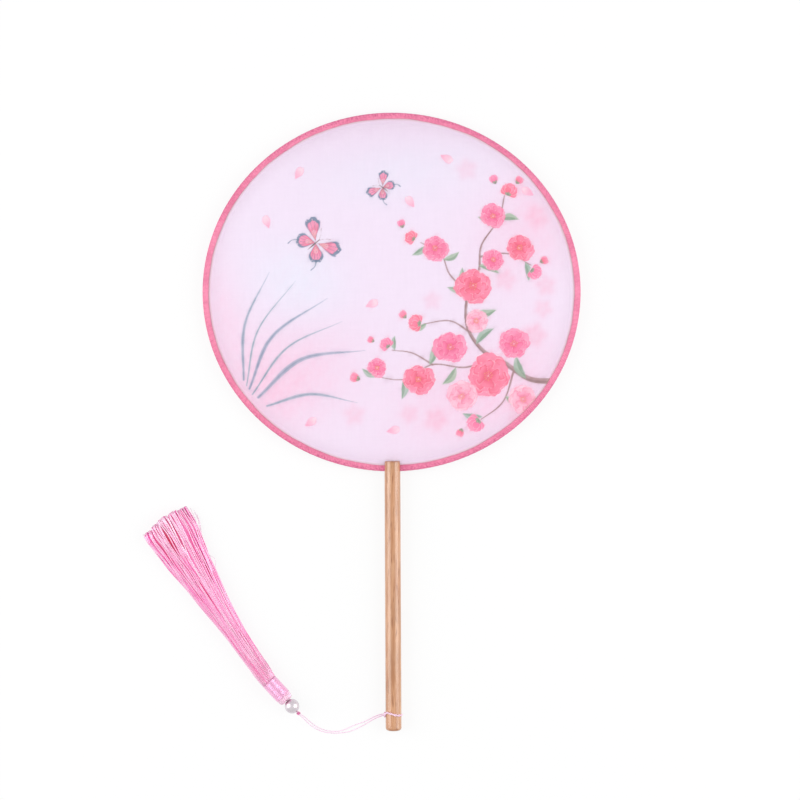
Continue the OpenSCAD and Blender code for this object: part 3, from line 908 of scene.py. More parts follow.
    for px, py, size, tint in (
            (84, -36, 21, rose), (66, -58, 29, coral), (90, -74, 20, pale), (40, -38, 22, rose),
            (48, -72, 20, pale), (18, -60, 21, coral), (56, 4, 24, coral), (70, 22, 15, rose),
            (30, 30, 18, rose), (88, 30, 19, coral), (70, 52, 16, rose), (-10, -52, 13, rose),
            (58, -20, 15, pale)):
        blossom(paint, (px, py), size, chance.uniform(0, 6.28), chance, tint)
    for px, py, turn, size, tint in (
            (20, -22, 2.9, 11, coral), (60, -88, -2.4, 12, rose), (-2, -38, 2.3, 9, rose),
            (96, 15, -0.6, 10, rose), (80, 66, 1.2, 11, coral), (16, 36, 2.6, 9, coral)):
        side_blossom(paint, (px, py), size, turn, chance, tint)
    for px, py, turn, size, tint in (
            (-22, -60, 2.8, 7, coral), (102, 20, 0.4, 6, coral), (72, 74, 2.0, 6.5, rose),
            (86, 74, 0.9, 6, coral), (48, -94, -2.0, 6, coral), (8, 44, 1.9, 6, rose),
            (10, -18, 2.3, 6, coral), (-12, -34, 2.7, 5, coral)):
        bud(paint, (px, py), turn, size, tint)

    butterfly(paint, (-52, 34), 17, 0.7)
    butterfly(paint, (-6, 72), 11, 2.5)
    for px, py, turn in ((-18, -10, 0.4), (16, 58, 2.2), (-66, 78, 1.0), (-4, -96, 0.2),
                         (98, 66, 2.6), (-60, -92, 0.6), (34, 94, -0.5), (-84, 44, 1.9)):
        paint.petal((px, py), turn, 9.5, 5.6, ROSE, SHELL, 0.75, 1.2, 0.03)
    return paint


def disc_from_square(u, v):
    """Maps a square onto a round disc, so that a grid keeps its four-sided cells."""
    return u * np.sqrt(1 - v * v / 2), v * np.sqrt(1 - u * u / 2)


def finer_front(bm, marked):
    """Cuts each cell of the front that has a marked corner into four."""
    bm.normal_update()
    fine = {edge for face in bm.faces if face.normal.z > 0.5
            and not marked.isdisjoint(face.verts) for edge in face.edges}
    bmesh.ops.subdivide_edges(bm, edges=list(fine), cuts=1, use_grid_fill=True)


def silk_mesh(settings):
    """Thin closed slab of silk. Its front has finer cells wherever the print has drawing."""
    half = ((LEAF_HIGH[0] - LEAF_LOW[0]) / 2, (LEAF_HIGH[1] - LEAF_LOW[1]) / 2)
    bm = bmesh.new()
    bmesh.ops.create_grid(bm, x_segments=int(2 * half[0] / settings.cell),
                          y_segments=int(2 * half[1] / settings.cell), size=1.0)
    x, y = disc_from_square(*np.array([v.co[:2] for v in bm.verts]).T)
    for vert, px, py in zip(bm.verts, x, y):
        vert.co = (FACE_MIDDLE.x + px * half[0], FACE_MIDDLE.y + py * half[1], LEAF_HIGH[2])
    back = bmesh.ops.duplicate(bm, geom=bm.verts[:] + bm.edges[:] + bm.faces[:])["geom"]
    bmesh.ops.reverse_faces(bm, faces=[e for e in back if isinstance(e, bmesh.types.BMFace)])
    for vert in (e for e in back if isinstance(e, bmesh.types.BMVert)):
        vert.co.z = LEAF_LOW[2]
    bmesh.ops.bridge_loops(bm, edges=[e for e in bm.edges if e.is_boundary])

    finer_front(bm, set(bm.verts))
    for reach in (0.3, 0.125):
        front = [v for v in bm.verts if v.co.z > LEAF_MIDDLE]
        x, y = (np.array([v.co[:2] for v in front]) - FACE_MIDDLE.xy).T / MM
        drawn = paint_silk(x, y, [h / MM for h in half], reach * settings.cell / MM).ink > 0.02
        finer_front(bm, {vert for vert, mark in zip(front, drawn) if mark})
    bmesh.ops.recalc_face_normals(bm, faces=bm.faces[:])
    return finish_mesh(bm, bpy.data.meshes.new("silk_leaf_printed")), half


def pucker(x, y, half):
    """Slight ripples that the silk's tension leaves close to the hoop."""
    distance = np.sqrt((x / half[0]) ** 2 + (y / half[1]) ** 2)
    angle = np.arctan2(y, x)
    wave = np.sin(angle * 47 + 2.1 * np.sin(angle * 5)) + 0.6 * np.sin(angle * 83 + 1.3)
    return wave * bell(distance - 0.93, 0.045)


class FAN_OT_silk(bpy.types.Operator):
    """Stretches the printed silk over the hoop"""
    bl_idname = "fan.silk"
    bl_label = "Silk"

    def execute(self, context):
        settings = context.scene.hand_fan.silk
        mesh, half = silk_mesh(settings)
        points = np.empty(len(mesh.vertices) * 3)
        mesh.vertices.foreach_get("co", points)
        points = points.reshape(-1, 3)
        x, y = points[:, 0] - FACE_MIDDLE.x, points[:, 1] - FACE_MIDDLE.y
        points[:, 2] += PUCKER * pucker(x, y, half)
        mesh.vertices.foreach_set("co", points.ravel())
        # The print's colours include painted shade just inside the rim.
        paint = paint_silk(x / MM, y / MM, [h / MM for h in half])
        colours = np.column_stack([linear(np.clip(paint.rgb, 0, 255)), np.ones(len(x))])
        mesh.attributes.new("print", "FLOAT_COLOR", "POINT").data.foreach_set(
            "color", colours.ravel())
        keep_values(mesh, "ink", paint.ink)
        keep_values(mesh, "glued", ease(np.hypot(x / half[0], y / half[1]), 0.945, 0.965))
        piece = new_piece(mesh, "fan", silk_material(settings), "printed_silk", "silk_leaf")
        return {"FINISHED"}


# Binding

TAPE_W = 4.3 * MM
# Length round the tape's section, outside and inside
TAPE_GIRTH = 2 * (2 * TAPE_W + FACE_HALF.z * 2)


def tape_section():
    """The folded tape's closed section, as distances in from its outer fold and heights."""
    width, wall, high = TAPE_W, 0.4 * MM, FACE_HALF.z * 2
    corner = 0.75 * MM
    low_arc = [(corner - corner * math.sin(a), corner - corner * math.cos(a))
               for a in np.linspace(0, math.pi / 2, 5)]
    outside = [(width, 0), (0.72 * width, 0), (0.45 * width, 0)] + low_arc
    upper = [(d, high - z) for d, z in reversed(outside)]
    inside = [(width, high - wall), (wall, high - wall), (wall, wall), (width, wall)]
    return outside + upper + inside


def crumple(settings, along, inward, up, ends):
    """Height of the tape's wrinkles at a point, and how much painted shade it gets deep in their
    hollows. Both are strongest at the face's two ends."""
    fold = math.exp(-inward / (1.4 * MM))
    drift = 1.6 * noise.noise(Vector((along * 55, up * 40, 3.1)))
    wide = math.sin(2 * math.pi * (along / settings.pleat + drift) + inward * 620)
    slant = 0.9 * inward * math.copysign(1, math.sin(along * 9)) + 0.9 * MM * drift
    fine = math.sin(2 * math.pi * (along + slant) / settings.gather + 5 * drift)
    gathered = max(0.0, min(1.0, 0.25 + 0.6 * ends + noise.noise(Vector((along * 23, 0.0, 7.7)))))
    lump = noise.noise(Vector((along * 420, inward * 130, up * 100)))
    swell = (0.06 * MM * wide * (0.25 + 0.75 * fold) + 0.05 * MM * lump
             + 0.055 * MM * fine * gathered * (0.15 + 0.85 * fold))
    deep = (0.5 * max(0.0, -wide) ** 3 + 1.5 * gathered * max(0.0, -fine) ** 1.5)
    crease_shade = deep * (0.3 + 0.7 * math.exp(-inward / (2.2 * MM)))
    return swell, min(1.0, crease_shade)


def binding_mesh(settings):
    """The tape as a grid wrapped round its section one way and round the face the other."""
    section = tape_section()
    bm, uv = mapped_grid(settings.stations, len(section))
    round_length = 2 * math.pi * math.sqrt((FACE_HALF.x ** 2 + FACE_HALF.y ** 2) / 2)
    fold_shades, crease_shades = bm.verts.layers.float.new("fold"), bm.verts.layers.float.new("crease_shade")
    middle_z = FACE_HALF.z
    for vert in bm.verts:
        inward, pz = section[round((vert.co.y + 0.5) * len(section)) % len(section)]
        angle = (vert.co.x + 0.5) % 1 * 2 * math.pi
        ripple = noise.noise(Vector((math.cos(angle) * 6, math.sin(angle) * 6, pz * 300)))
        ripple += 0.5 * noise.noise(Vector((math.cos(angle) * 21, math.sin(angle) * 21, 2.2)))
        trimmed = inward * (0.97 + 0.1 * max(-1.0, min(0.75, ripple)))
        ends = abs(math.sin(angle)) ** 1.5
        swell, crease_shade = crumple(settings, angle / (2 * math.pi) * round_length, inward, pz, ends)
        # Painted shade in the hollows of the wrinkles, and more beside the handle.
        handle_shade = math.exp(-((angle - 1.5 * math.pi) / 0.09) ** 2)
        # Painted shade along the outer fold, strongest at the face's top and bottom.
        vert[fold_shades] = (0.1 + 0.9 * ends) * math.exp(-inward / (2 * MM))
        vert[crease_shades] = min(1.0, crease_shade + 0.5 * handle_shade)
        push = 0.6 * swell * math.exp(-inward / (0.4 * MM))
        a, b = FACE_HALF.x - trimmed + push, FACE_HALF.y - trimmed + push
        outside = not 0.3 * MM < pz < 2 * middle_z - 0.3 * MM
        lift = outside * swell * min(1.0, inward / (0.7 * MM)) * (1 if pz > middle_z else -1)
        vert.co = (FACE_MIDDLE.x + a * math.cos(angle), FACE_MIDDLE.y + b * math.sin(angle),
                   FACE_LOW[2] + pz + lift)
    close_grid(bm, uv, (round_length, TAPE_GIRTH), 1e-7)
    return finish_mesh(bm, bpy.data.meshes.new("edge_binding_tape"))


class FAN_OT_binding(bpy.types.Operator):
    """Folds the cloth tape over the rim"""
    bl_idname = "fan.binding"
    bl_label = "Edge binding"

    def execute(self, context):
        settings = context.scene.hand_fan.binding
        new_piece(binding_mesh(settings), "fan", tape_material(settings), "binding_tape",
                  "edge_binding")
        return {"FINISHED"}


class FAN_OT_wood(bpy.types.Operator):
    """Gives the handle and the hoop their wood"""
    bl_idname = "fan.wood"
    bl_label = "Handle and hoop"

    def execute(self, context):
        settings = context.scene.hand_fan.wood
        dress(frame["nodes"]["handle"].data, handle_material(settings))
        dress(frame["nodes"]["hoop"].data, bamboo_material(settings))
        return {"FINISHED"}


# Cord

# Thickness of the plies, as they are drawn in each stretch of the cord
STRAND_PLY = 0.36 * MM
HITCH_PLY = 0.56 * MM
KNOT_PLY = 0.5 * MM
LOOP_PLY = 0.4 * MM
# The small ring of cord round the doubled cord, at the hole
RING_R = 1.5 * MM
# How far from the knot the loop inside the tassel's head ends
LOOP_END = 18 * MM


def hitch_route():
    """Middle line of the doubled cord: through the hole, round its mouth and over the front."""
    turn_r = 0.76 * CORD_D
    turn_x = HANDLE_R - 0.8 * turn_r
    points = [(x, HOLE_Y, HANDLE_R) for x in (-HANDLE_R, -turn_x / 3, turn_x / 3, turn_x)]
    points += [(turn_x + turn_r * math.sin(a), HOLE_Y, HANDLE_R + turn_r - turn_r * math.cos(a))
               for a in np.radians((22.5, 45, 67.5, 90))]
    for degrees, share in HITCH_SHARES:
        a = math.radians(degrees)
        reach = HANDLE_R + CORD_D / 2 - (0.1 + 0.35 * max(0.0, math.cos(a))) * MM
        points.append((reach * math.cos(a), HOLE_Y + share * HITCH_RISE,
                       HANDLE_R + reach * math.sin(a)))
    points.append((-RING_OUT, HOLE_Y, HANDLE_R + RING_R))
    return smooth_route(points, 150)


def strand(node, route_mm, settings, material):
    """One free strand: two plies twisted along its route."""
    route = smooth_route(np.array(MOUTH) + np.array(route_mm) * MM, 300)
    plies = twisted(route, 2, radius=0.16 * MM, lay=settings.lay * 0.75)
    tone = 0.55 * (1 - ease(np.linspace(0, 1, len(route)), 0, 0.3))
    mesh = thread_mesh(node + "_twisted", plies, STRAND_PLY, [tone, tone + 0.12])
    piece = new_piece(mesh, "fan", material, "cord", node)


class FAN_OT_cord(bpy.types.Operator):
    """Lays the doubled cord from the handle to the bead"""
    bl_idname = "fan.cord"
    bl_label = "Cord"

    def execute(self, context):
        settings = context.scene.hand_fan.cord
        deep = linear((226, 132, 192))
        material = thread_material("cord", settings.colour, deep, lay=0.4 * MM, roughness=0.4,
                                   gloss=0.5, ridge=0.12)
        strand("cord_strand_a", STRAND_A_ROUTE, settings, material)
        strand("cord_strand_b", STRAND_B_ROUTE, settings, material)

        legs = twisted(hitch_route(), 2, radius=0.37 * MM, lay=6.5 * MM, phase=0.6)
        plies = [ply for leg in legs for ply in twisted(leg, 2, radius=0.17 * MM, lay=2.4 * MM)]
        ring = np.array([
            (-RING_OUT, HOLE_Y + RING_R * math.cos(a), HANDLE_R + RING_R * math.sin(a))
            for a in np.linspace(0, 2 * math.pi, 73)])
        plies += twisted(ring, 2, radius=0.2 * MM, lay=2 * math.pi * RING_R / 6)
        mesh = thread_mesh("cord_hitch_twisted", plies, HITCH_PLY, [0, 0.04, 0, 0.08, 0.5, 0.7])
        new_piece(mesh, "fan", material, "cord", "cord_hitch")

        turns = np.linspace(0, 2 * math.pi, 97)
        size = 0.33 * MM
        tangle = at_knot(np.column_stack([
            size * (np.sin(turns) + 2 * np.sin(2 * turns)), -size * 2.5 * np.sin(3 * turns),
            size * (np.cos(turns) - 2 * np.cos(2 * turns))]))
        tight = thread_material("knotted cord", settings.knot, linear((214, 96, 152)),
                                lay=0.4 * MM, roughness=0.45, gloss=0.5)
        plies = twisted(tangle, 2, radius=0.19 * MM, lay=1.4 * MM)
        mesh = thread_mesh("stopper_knot_tied", [*plies, tangle], KNOT_PLY, [0.2, 0.5, 0.6])
        new_piece(mesh, "knot", tight, "cord", "stopper_knot")

        line = at_knot([(0, y, 0) for y in np.linspace(KNOT_R, LOOP_END, 60)])
        plies = [ply for leg in twisted(line, 2, radius=0.38 * MM, lay=3.2 * MM)
                 for ply in twisted(leg, 2, radius=0.17 * MM, lay=1.5 * MM)]
        mesh = thread_mesh("tassel_loop_twisted", plies, LOOP_PLY, [0.1, 0.3, 0.2, 0.4])
        new_piece(mesh, "tassel", material, "cord", "tassel_loop")
        return {"FINISHED"}


def bead_mesh(rows, steps):
    """The bored bead, spun round the cord from its section, with softened mouths."""
    along, up = np.array(ALONG), np.array((0, 0, 1.0))
    mouth = math.asin(BEAD_BORE / BEAD_D)
    turn = np.linspace(mouth, math.pi - mouth, rows)
    section = np.column_stack([np.cos(turn), np.sin(turn)]) * BEAD_D / 2
    bm = bmesh.new()
    verts = [bm.verts.new(np.array(BEAD) + a * along + b * up) for a, b in section]
    edges = [bm.edges.new(pair) for pair in zip(verts, verts[1:] + verts[:1])]
    bmesh.ops.spin(bm, geom=verts + edges, cent=BEAD, axis=ALONG, angle=2 * math.pi, steps=steps,
                   use_merge=True, dvec=(0, 0, 0))
    bmesh.ops.recalc_face_normals(bm, faces=bm.faces[:])
    mouths = [edge for edge in bm.edges
              if abs(edge.verts[0].co.dot(ALONG) - edge.verts[1].co.dot(ALONG)) < 1e-6
              and all(abs((v.co - BEAD).dot(ALONG)) > section[0][0] - 1e-6 for v in edge.verts)]
    bmesh.ops.bevel(bm, geom=mouths, affect="EDGES", offset=0.22 * MM, segments=4, profile=0.5,
                    material=-1)
    return finish_mesh(bm, bpy.data.meshes.new("pearl_bead_lacquered"))


class FAN_OT_bead(bpy.types.Operator):
    """Makes the bored bead and gives it its pearl lacquer"""
    bl_idname = "fan.bead"
    bl_label = "Bead"

    def execute(self, context):
        new_piece(bead_mesh(rows=48, steps=72), "bead",
                  pearl_material(context.scene.hand_fan.bead), "pearl", "pearl_bead")
        return {"FINISHED"}


# Tassel

TASSEL_SEED = 31
HEAD_AT = KNOT_R + BEAD_D + 2 * BEAD_GAP
HEAD_L = 4 * MM
NECK_L = 14 * MM
# Thickness of the thread wound round the neck, and of the fibres that have strayed
WOUND = 0.5 * MM
STRAY = 0.24 * MM
SKIRT_AT = HEAD_AT + HEAD_L + NECK_L
SKIRT_L = 135 * MM
SKIRT_W = 35 * MM
SKIRT_H = 8.5 * MM
SKIRT_BOW = 2.1 * MM
SKIRT_JAG = 4 * MM
SKIRT_TURN = math.radians(-10)
SKIRT_LIFT = 0.1 * MM
GOLDEN = (math.sqrt(5) - 1) / 2
WIDTH_SHARES = ((0, 0), (0.04, 0.03), (0.1, 0.09), (0.2, 0.12), (0.3, 0.15), (0.4, 0.26),
                (0.5, 0.38), (0.6, 0.53), (0.7, 0.69), (0.8, 0.87), (0.88, 1), (1, 0.97))
FLAT_SHARES = ((0, 0), (0.1, 0.1), (0.3, 0.35), (0.6, 0.65), (0.85, 0.85), (1, 1))
# The locks at the end: where each starts and stops across the bundle, and how far it reaches
LOCKS = ((-1.0, -0.62, 0.15), (-0.62, -0.28, 0.55), (-0.28, 0.17, 0.9), (0.17, 0.6, 0.8),
         (0.6, 1.0, 0.4))
# Gaps between threads on top: place across, how wide, and the shares of length they run over
GAPS = ((-0.2, 0.075, 0.765, 0.985), (-0.62, 0.035, 0.7, 1.0), (0.17, 0.045, 0.74, 1.1),
        (0.6, 0.035, 0.55, 0.9), (0.4, 0.04, 0.3, 0.62), (-0.1, 0.04, 0.42, 0.7),
        (-0.45, 0.03, 0.25, 0.6), (0.05, 0.03, 0.1, 0.4), (0.78, 0.03, 0.4, 0.66))


def skirt_place(share, length, sideways, upward):
    """A point of the hanging threads: sideways and upward run from -1 to 1 over the bundle."""
    start_w = 2 * HEAD_R
    half_w = (start_w + (SKIRT_W - start_w) * np.interp(share, *zip(*WIDTH_SHARES))) / 2
    high = start_w + (SKIRT_H - start_w) * np.interp(share, *zip(*FLAT_SHARES))
    released = 0.5 * MM * hump(share, 0, 0.1)
    half_w, high = half_w + released, high + released
    half_w = half_w * (1 + 0.1 * (sideways < 0) * bell(share - 0.96, 0.05))
    lift = SKIRT_LIFT + (KNOT.z - HEAD_R - SKIRT_LIFT) * (1 - share) ** 3
    across = -length * math.sin(SKIRT_TURN) - 4 * SKIRT_BOW * share * (1 - share)
    along = SKIRT_AT + length * math.cos(SKIRT_TURN)
    return np.column_stack([
        across + sideways * half_w * np.cos(SKIRT_TURN * share),
        along + sideways * half_w * np.sin(SKIRT_TURN * share),
        lift + high / 2 * (1 + upward) - KNOT.z])


def skirt_threads(count, rings, chance):
    """Routes of the hanging threads, drawn together into locks towards their ends. Those in the
    outer layers come to the surface where the bundle widens, and short ones fill its cut end. Also
    gives their tones, which hold painted shade and painted light, and the directions out of the
    bundle."""
    routes, tones, outward = [], [], []
    filling = count // 3
    for k in range(count + filling):
        angle = k * 2 * math.pi * GOLDEN
        if k < count:
            share = np.linspace(0, 1, rings)
            depth = (0.02 + 0.1 * chance.random() ** 2
                     + 0.08 * (k % 3) * (1 - ease(share, 0.05, 0.3 + 0.5 * chance.random())))
            reach = 0.97 - depth
        else:
            share = np.linspace(0.86, 1, 6)
            reach = 0.84 * math.sqrt((k - count + 0.5) / filling) + 0 * share
            depth = 0.3
        side, up = reach * math.cos(angle), reach * math.sin(angle)
        wave = sum(size * share * np.sin(2 * math.pi * (share * chance.uniform(low, high)
                                                        + chance.random()))
                   for size, low, high in ((0.05, 0.6, 1.8), (0.022, 3, 6)))
        sideways = side + wave
        for place, width, start, stop in GAPS:
            near = bell(sideways - place, 0.13) * (up[-1] > -0.25)
            sideways = sideways + (np.sign(side[-1] - place) * width
                                   * hump(share, start, stop) * near)
        low, high, extra = next(lock for lock in LOCKS if side[-1] <= lock[1])
        rounded = ((2 * side[-1] - low - high) / (high - low)) ** 2
        end = SKIRT_JAG * (extra - 0.4 * rounded + chance.uniform(-0.08, 0.1))
        length = share * (SKIRT_L - SKIRT_JAG) + share ** 2 * end - 1.5 * MM * (1 - share) ** 30
        height = np.clip(up + np.interp(share, (0, 0.4, 1), (0, chance.gauss(0, 0.04),
                                                             chance.gauss(0, 0.07))), -0.93, 0.95)
        limit = np.sqrt(np.clip(1.06 - height ** 2 * 0.85, 0.05, 1))
        routes.append(at_knot(skirt_place(share, length, np.clip(sideways, -limit, limit), height)))
        middle = at_knot(skirt_place(share, length, 0 * share, 0 * share))
        outward.append(unit((routes[-1] - middle) * (1, 1, 3)))
        # Each thread's tone: a random shade of its own; painted shade that deepens with the
        # thread's depth in the bundle; random streaks; darker half way down; and paler towards the
        # cut ends, as painted light against the shade among them.
        own = 0.45 * chance.random() ** 1.5 + depth - 0.02 - 0.3 * share ** 3
        streak = np.sin(2 * math.pi * (share * chance.uniform(2, 5) + chance.random()))
        tones.append(np.clip(own + 0.15 * streak + 0.12 * np.sin(math.pi * share)
                             - 0.3 * ease(share, 0.86, 1), 0, 1))
    return routes, tones, outward


def skirt_core():
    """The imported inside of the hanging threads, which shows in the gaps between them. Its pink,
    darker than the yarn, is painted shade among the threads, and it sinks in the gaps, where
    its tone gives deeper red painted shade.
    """
    bm, uv = mapped_grid(36, 48)
    tone = bm.verts.layers.float.new("tone")
    share = np.array([vert.co.x + 0.5 for vert in bm.verts]) * 0.965
    angle = np.array([vert.co.y for vert in bm.verts]) * 2 * math.pi
    side, up = 0.9 * np.cos(angle), 0.9 * np.sin(angle)
    gap_depth_and_shade = 0.0
    for place, width, start, stop in GAPS:
        gap_depth_and_shade = gap_depth_and_shade + 13 * width * hump(share, start, stop) * bell(side - place, 0.1) * (up > 0)
    places = at_knot(skirt_place(share, share * SKIRT_L, side, up * (1 - 0.2 * gap_depth_and_shade)))
    # The core's tone in the gaps is painted shade.
    for vert, place, shade in zip(bm.verts, places, np.minimum(gap_depth_and_shade, 1)):
        vert.co = place
        vert[tone] = shade
    close_grid(bm, uv, (0.01, 60), 1e-6)
    return finish_mesh(bm, bpy.data.meshes.new("tassel_skirt_core"))


def stray_threads(chance):
    """A few thin fibres that have left the bundle near its end, one of them looped."""
    share = np.linspace(0, 1, 80)
    routes = []
    for side, leave, out, reach in ((0.94, 0.8, 0.24, 0.94), (0.97, 0.82, 0.2, 0.92),
                                    (0.96, 0.85, 0.14, 0.96), (0.93, 0.83, 0.22, 0.9),
                                    (0.98, 0.86, 0.16, 0.93), (0.95, 0.84, 0.12, 0.95),
                                    (-0.96, 0.9, 0.05, 0.97), (-0.94, 0.88, 0.07, 0.98)):
        away = out * ease(share, leave, 1.0) + 0.015 * np.sin(share * chance.uniform(15, 25))
        sideways = side + math.copysign(1, side) * away
        upward = np.interp(share, (0, 0.7, 1), (0.1, -0.2, -0.6))
        routes.append(at_knot(skirt_place(share * reach, share * reach * SKIRT_L, sideways,
                                          upward)))
    routes.append(at_knot(skirt_place(share * 0.94, share * 0.9 * SKIRT_L,
                                      0.95 + 0.2 * hump(share, 0.7, 0.78), 0.1 - 0.3 * share)))
    return routes


def from_axis(route):
    """The directions away from the tassel's middle line."""
    off = route - np.array(KNOT)
    return unit(off - (off @ np.array(ALONG))[:, None] * np.array(ALONG))


def folded_threads(count):
    """Routes of the yarn where it folds over the cord, down into the hole of the head."""
    profile = ((0.985, 7.5), (1.0, 4.4), (0.99, 2.6), (0.94, 1.2), (0.82, 0.4), (0.62, 0.1),
               (0.38, 0.3), (0.22, 1.0))
    routes = []
    for layer, cut in ((1.0, 8), (0.9, 7)):
        for k in range(count):
            angle = 2 * math.pi * (k + 0.5 * (layer < 1)) / count
            keep = cut if k % 3 == 0 else cut - 1 - k % 2
            points = []
            for radius, depth in profile[:keep]:
                r = (HEAD_R - 0.28 * MM) * radius * layer
                across = r * math.cos(angle)
                notch = 0.7 * MM * max(0.0, 1 - abs(across) / (2.4 * MM)) * (radius < 0.9)
                points.append((across, HEAD_AT + depth * MM + notch + (1 - layer) * 2 * MM,
                               r * math.sin(angle)))
            routes.append(smooth_route(at_knot(points), 18))
    return routes


class FAN_OT_tassel(bpy.types.Operator):
    """Hangs the tassel: folded head, wound neck and loose threads"""
    bl_idname = "fan.tassel"
    bl_label = "Tassel"

    def execute(self, context):
        settings = context.scene.hand_fan.tassel
        chance = random.Random(TASSEL_SEED)
        deep = linear((255, 88, 184))
        yarn = thread_material("tassel yarn", settings.colour, deep, lay=3 * MM, roughness=0.3,
                               gloss=0.5, ridge=0.45, satin=0.35, coat=0.2, sheen=0.1)
        routes, tones, outward = skirt_threads(settings.threads, rings=38, chance=chance)
        # The threads' sides turned into the bundle get painted shade.
        mesh = thread_mesh("tassel_skirt_threads", routes, settings.thread, tones,
                           taper=(0.72, 1, 1.12), outward=outward, inward_shade=0.75)
        new_piece(mesh, "tassel", yarn, "tassel_yarn", "tassel_skirt")
        # The core's pink, darker than the yarn, and its deep red in the gaps are painted shade
        # among the threads.
        packed = thread_material("packed yarn", linear((255, 150, 210)), linear((216, 10, 56)),
                                 lay=3 * MM, roughness=0.5, gloss=0.3, satin=0.2, sheen=0.1)
        new_piece(skirt_core(), "tassel", packed, "tassel_yarn")
        mesh = thread_mesh("tassel_stray_threads", stray_threads(chance), STRAY, [0.1] * 9,
                           sides=4)
        new_piece(mesh, "tassel", yarn, "tassel_yarn")

        fold_shades = thread_material("folded yarn", settings.colour, deep, lay=3 * MM, roughness=0.3,
                                gloss=0.7, satin=0.4)
        folded = folded_threads(count=58)
        # The folds' sides turned in towards the cord get painted shade.
        mesh = thread_mesh("tassel_head_folds", folded, 0.72 * settings.thread,
                           [chance.uniform(0, 0.2) for _ in folded],
                           outward=[from_axis(route) for route in folded], inward_shade=0.5)
        new_piece(mesh, "tassel", fold_shades, "tassel_yarn", "tassel_head")

        turns = int(NECK_L / (0.26 * WOUND))
        spot = np.linspace(0, 1, turns * 40)
        angle = 2 * math.pi * turns * spot
        ripple = 0.03 * MM * np.sin(spot * 210) + 0.02 * MM * np.sin(spot * 523 + 1)
        radius = NECK_R - WOUND / 2 - 0.05 * MM + ripple
        along = HEAD_AT + HEAD_L + WOUND / 2 + (NECK_L - WOUND) * spot
        coil = at_knot(np.column_stack([radius * np.cos(angle), along, radius * np.sin(angle)]))
        neck = thread_material("neck thread", settings.neck, linear((225, 110, 170)),
                               lay=2 * MM, roughness=0.36, gloss=1.0, ridge=0.1, satin=0.7,
                               coat=1.0, sheen=0.1)
        # The winding's sides turned in towards the neck's axis get painted shade.
        mesh = thread_mesh("neck_wrap_winding", [coil], WOUND, [0.1], outward=[from_axis(coil)],
                           inward_shade=0.3)
        new_piece(mesh, "tassel", neck, "neck_thread", "neck_wrap")
        return {"FINISHED"}


# Stage

def floor_material():
    """White to the camera and in reflections, and still shaded by the fan."""
    material, s = new_material("white floor")
    path = s.add("ShaderNodeLightPath").outputs
    seen = s.math("MAXIMUM", path["Is Camera Ray"], s.math(
        "MAXIMUM", path["Is Glossy Ray"], path["Is Transmission Ray"]))
    paper = s.add("ShaderNodeBsdfDiffuse", {"Color": (0.9, 0.9, 0.905, 1)}).outputs[0]
    glow = s.add("ShaderNodeEmission", {"Color": (1, 1, 1, 1), "Strength": 1.0}).outputs[0]
    share = s.math("MULTIPLY", seen, 0.86)
    both = s.add("ShaderNodeMixShader", {0: share, 1: paper, 2: glow}).outputs[0]
    s.add("ShaderNodeOutputMaterial", {"Surface": both})
    return material


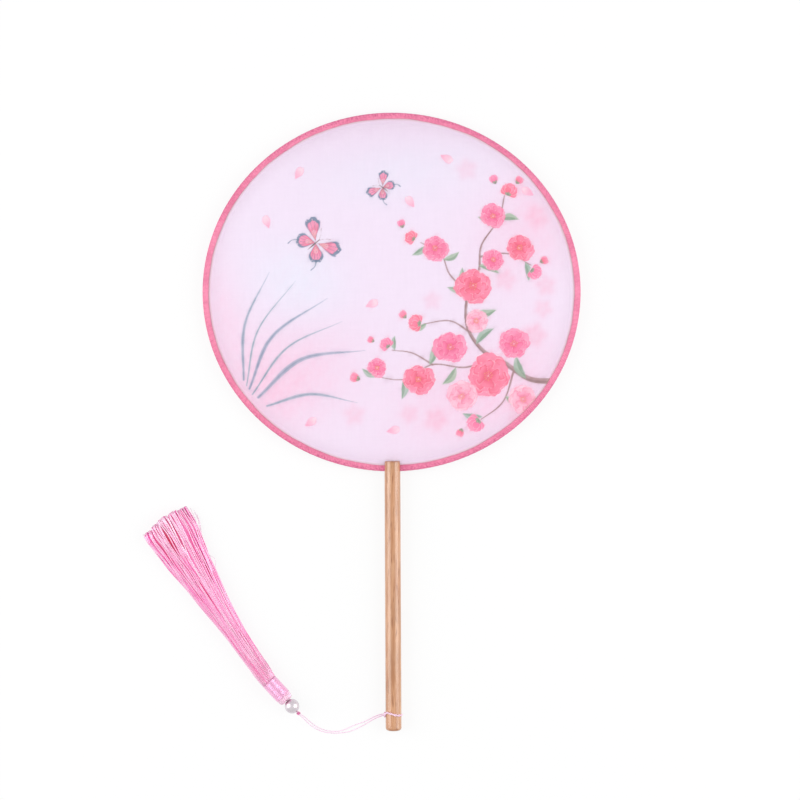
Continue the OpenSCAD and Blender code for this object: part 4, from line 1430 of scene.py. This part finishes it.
class FAN_OT_stage(bpy.types.Operator):
    """Sets the floor, the lamps and the camera"""
    bl_idname = "fan.stage"
    bl_label = "Stage"

    def execute(self, context):
        scene, settings = context.scene, context.scene.hand_fan.stage
        bm = bmesh.new()
        bmesh.ops.create_grid(bm, x_segments=1, y_segments=1, size=2.5)
        bmesh.ops.translate(bm, verts=bm.verts, vec=(0, 0, -0.05 * MM))
        mesh = finish_mesh(bm, bpy.data.meshes.new("floor"), smooth=False)
        dress(mesh, floor_material())
        floor = placed("floor", mesh)

        scene.world = bpy.data.worlds.new("studio")
        scene.world.use_nodes = True
        background = scene.world.node_tree.nodes["Background"].inputs
        background["Color"].default_value = (1, 1, 1, 1)
        background["Strength"].default_value = settings.sky

        for name, side in (("left_softbox", -1), ("right_softbox", 1)):
            light = bpy.data.lights.new(name, "AREA")
            light.shape = "RECTANGLE"
            light.size, light.size_y = 1.1, 1.3
            light.energy = settings.lamp_power
            lamp = placed(name, light)
            lamp.location = (side * 1.25, 0.05, 0.78)
            lamp.rotation_euler = (-lamp.location).to_track_quat("-Z", "Y").to_euler()

        camera = bpy.data.cameras.new("camera")
        camera.lens = settings.lens
        camera.sensor_width = 36
        camera.clip_end = 20
        away = Vector(((PHOTO_SIDE / 2 - FACE_PIXEL[0]) * PIXEL,
                       (FACE_PIXEL[1] - PHOTO_SIDE / 2) * PIXEL, 0))
        aim = FACE_MIDDLE + Matrix.Rotation(settings.roll, 3, "Z") @ away
        distance = PHOTO_SIDE * PIXEL * camera.lens / camera.sensor_width
        scene.camera = placed("camera", camera)
        scene.camera.location = aim + Vector((0, 0, distance))
        scene.camera.rotation_euler = (0, 0, settings.roll)
        scene.view_settings.view_transform = "Standard"
        return {"FINISHED"}


class FAN_PT_panel(bpy.types.Panel):
    """Lists the steps that build the fan"""
    bl_idname = "FAN_PT_panel"
    bl_label = "Hand Fan"
    bl_space_type = "VIEW_3D"
    bl_region_type = "UI"
    bl_category = "Hand Fan"

    def draw(self, context):
        for step in STEPS:
            self.layout.operator(step.bl_idname)
        for name, group in SETTINGS.items():
            box = self.layout.box()
            box.label(text=name.capitalize())
            for field in group.__annotations__:
                box.prop(getattr(context.scene.hand_fan, name), field)


STEPS = (FAN_OT_stage, FAN_OT_cord, FAN_OT_silk, FAN_OT_binding, FAN_OT_wood, FAN_OT_bead,
         FAN_OT_tassel)
CLASSES = (*SETTINGS.values(), FanSettings, *STEPS, FAN_PT_panel)


def register():
    for each in CLASSES:
        bpy.utils.register_class(each)
    bpy.types.Scene.hand_fan = PointerProperty(type=FanSettings)


def unregister():
    del bpy.types.Scene.hand_fan
    for each in reversed(CLASSES):
        bpy.utils.unregister_class(each)


def main():
    register()
    for step in STEPS:
        group, name = step.bl_idname.split(".")
        getattr(getattr(bpy.ops, group), name)()


if __name__ == "__main__":
    main()
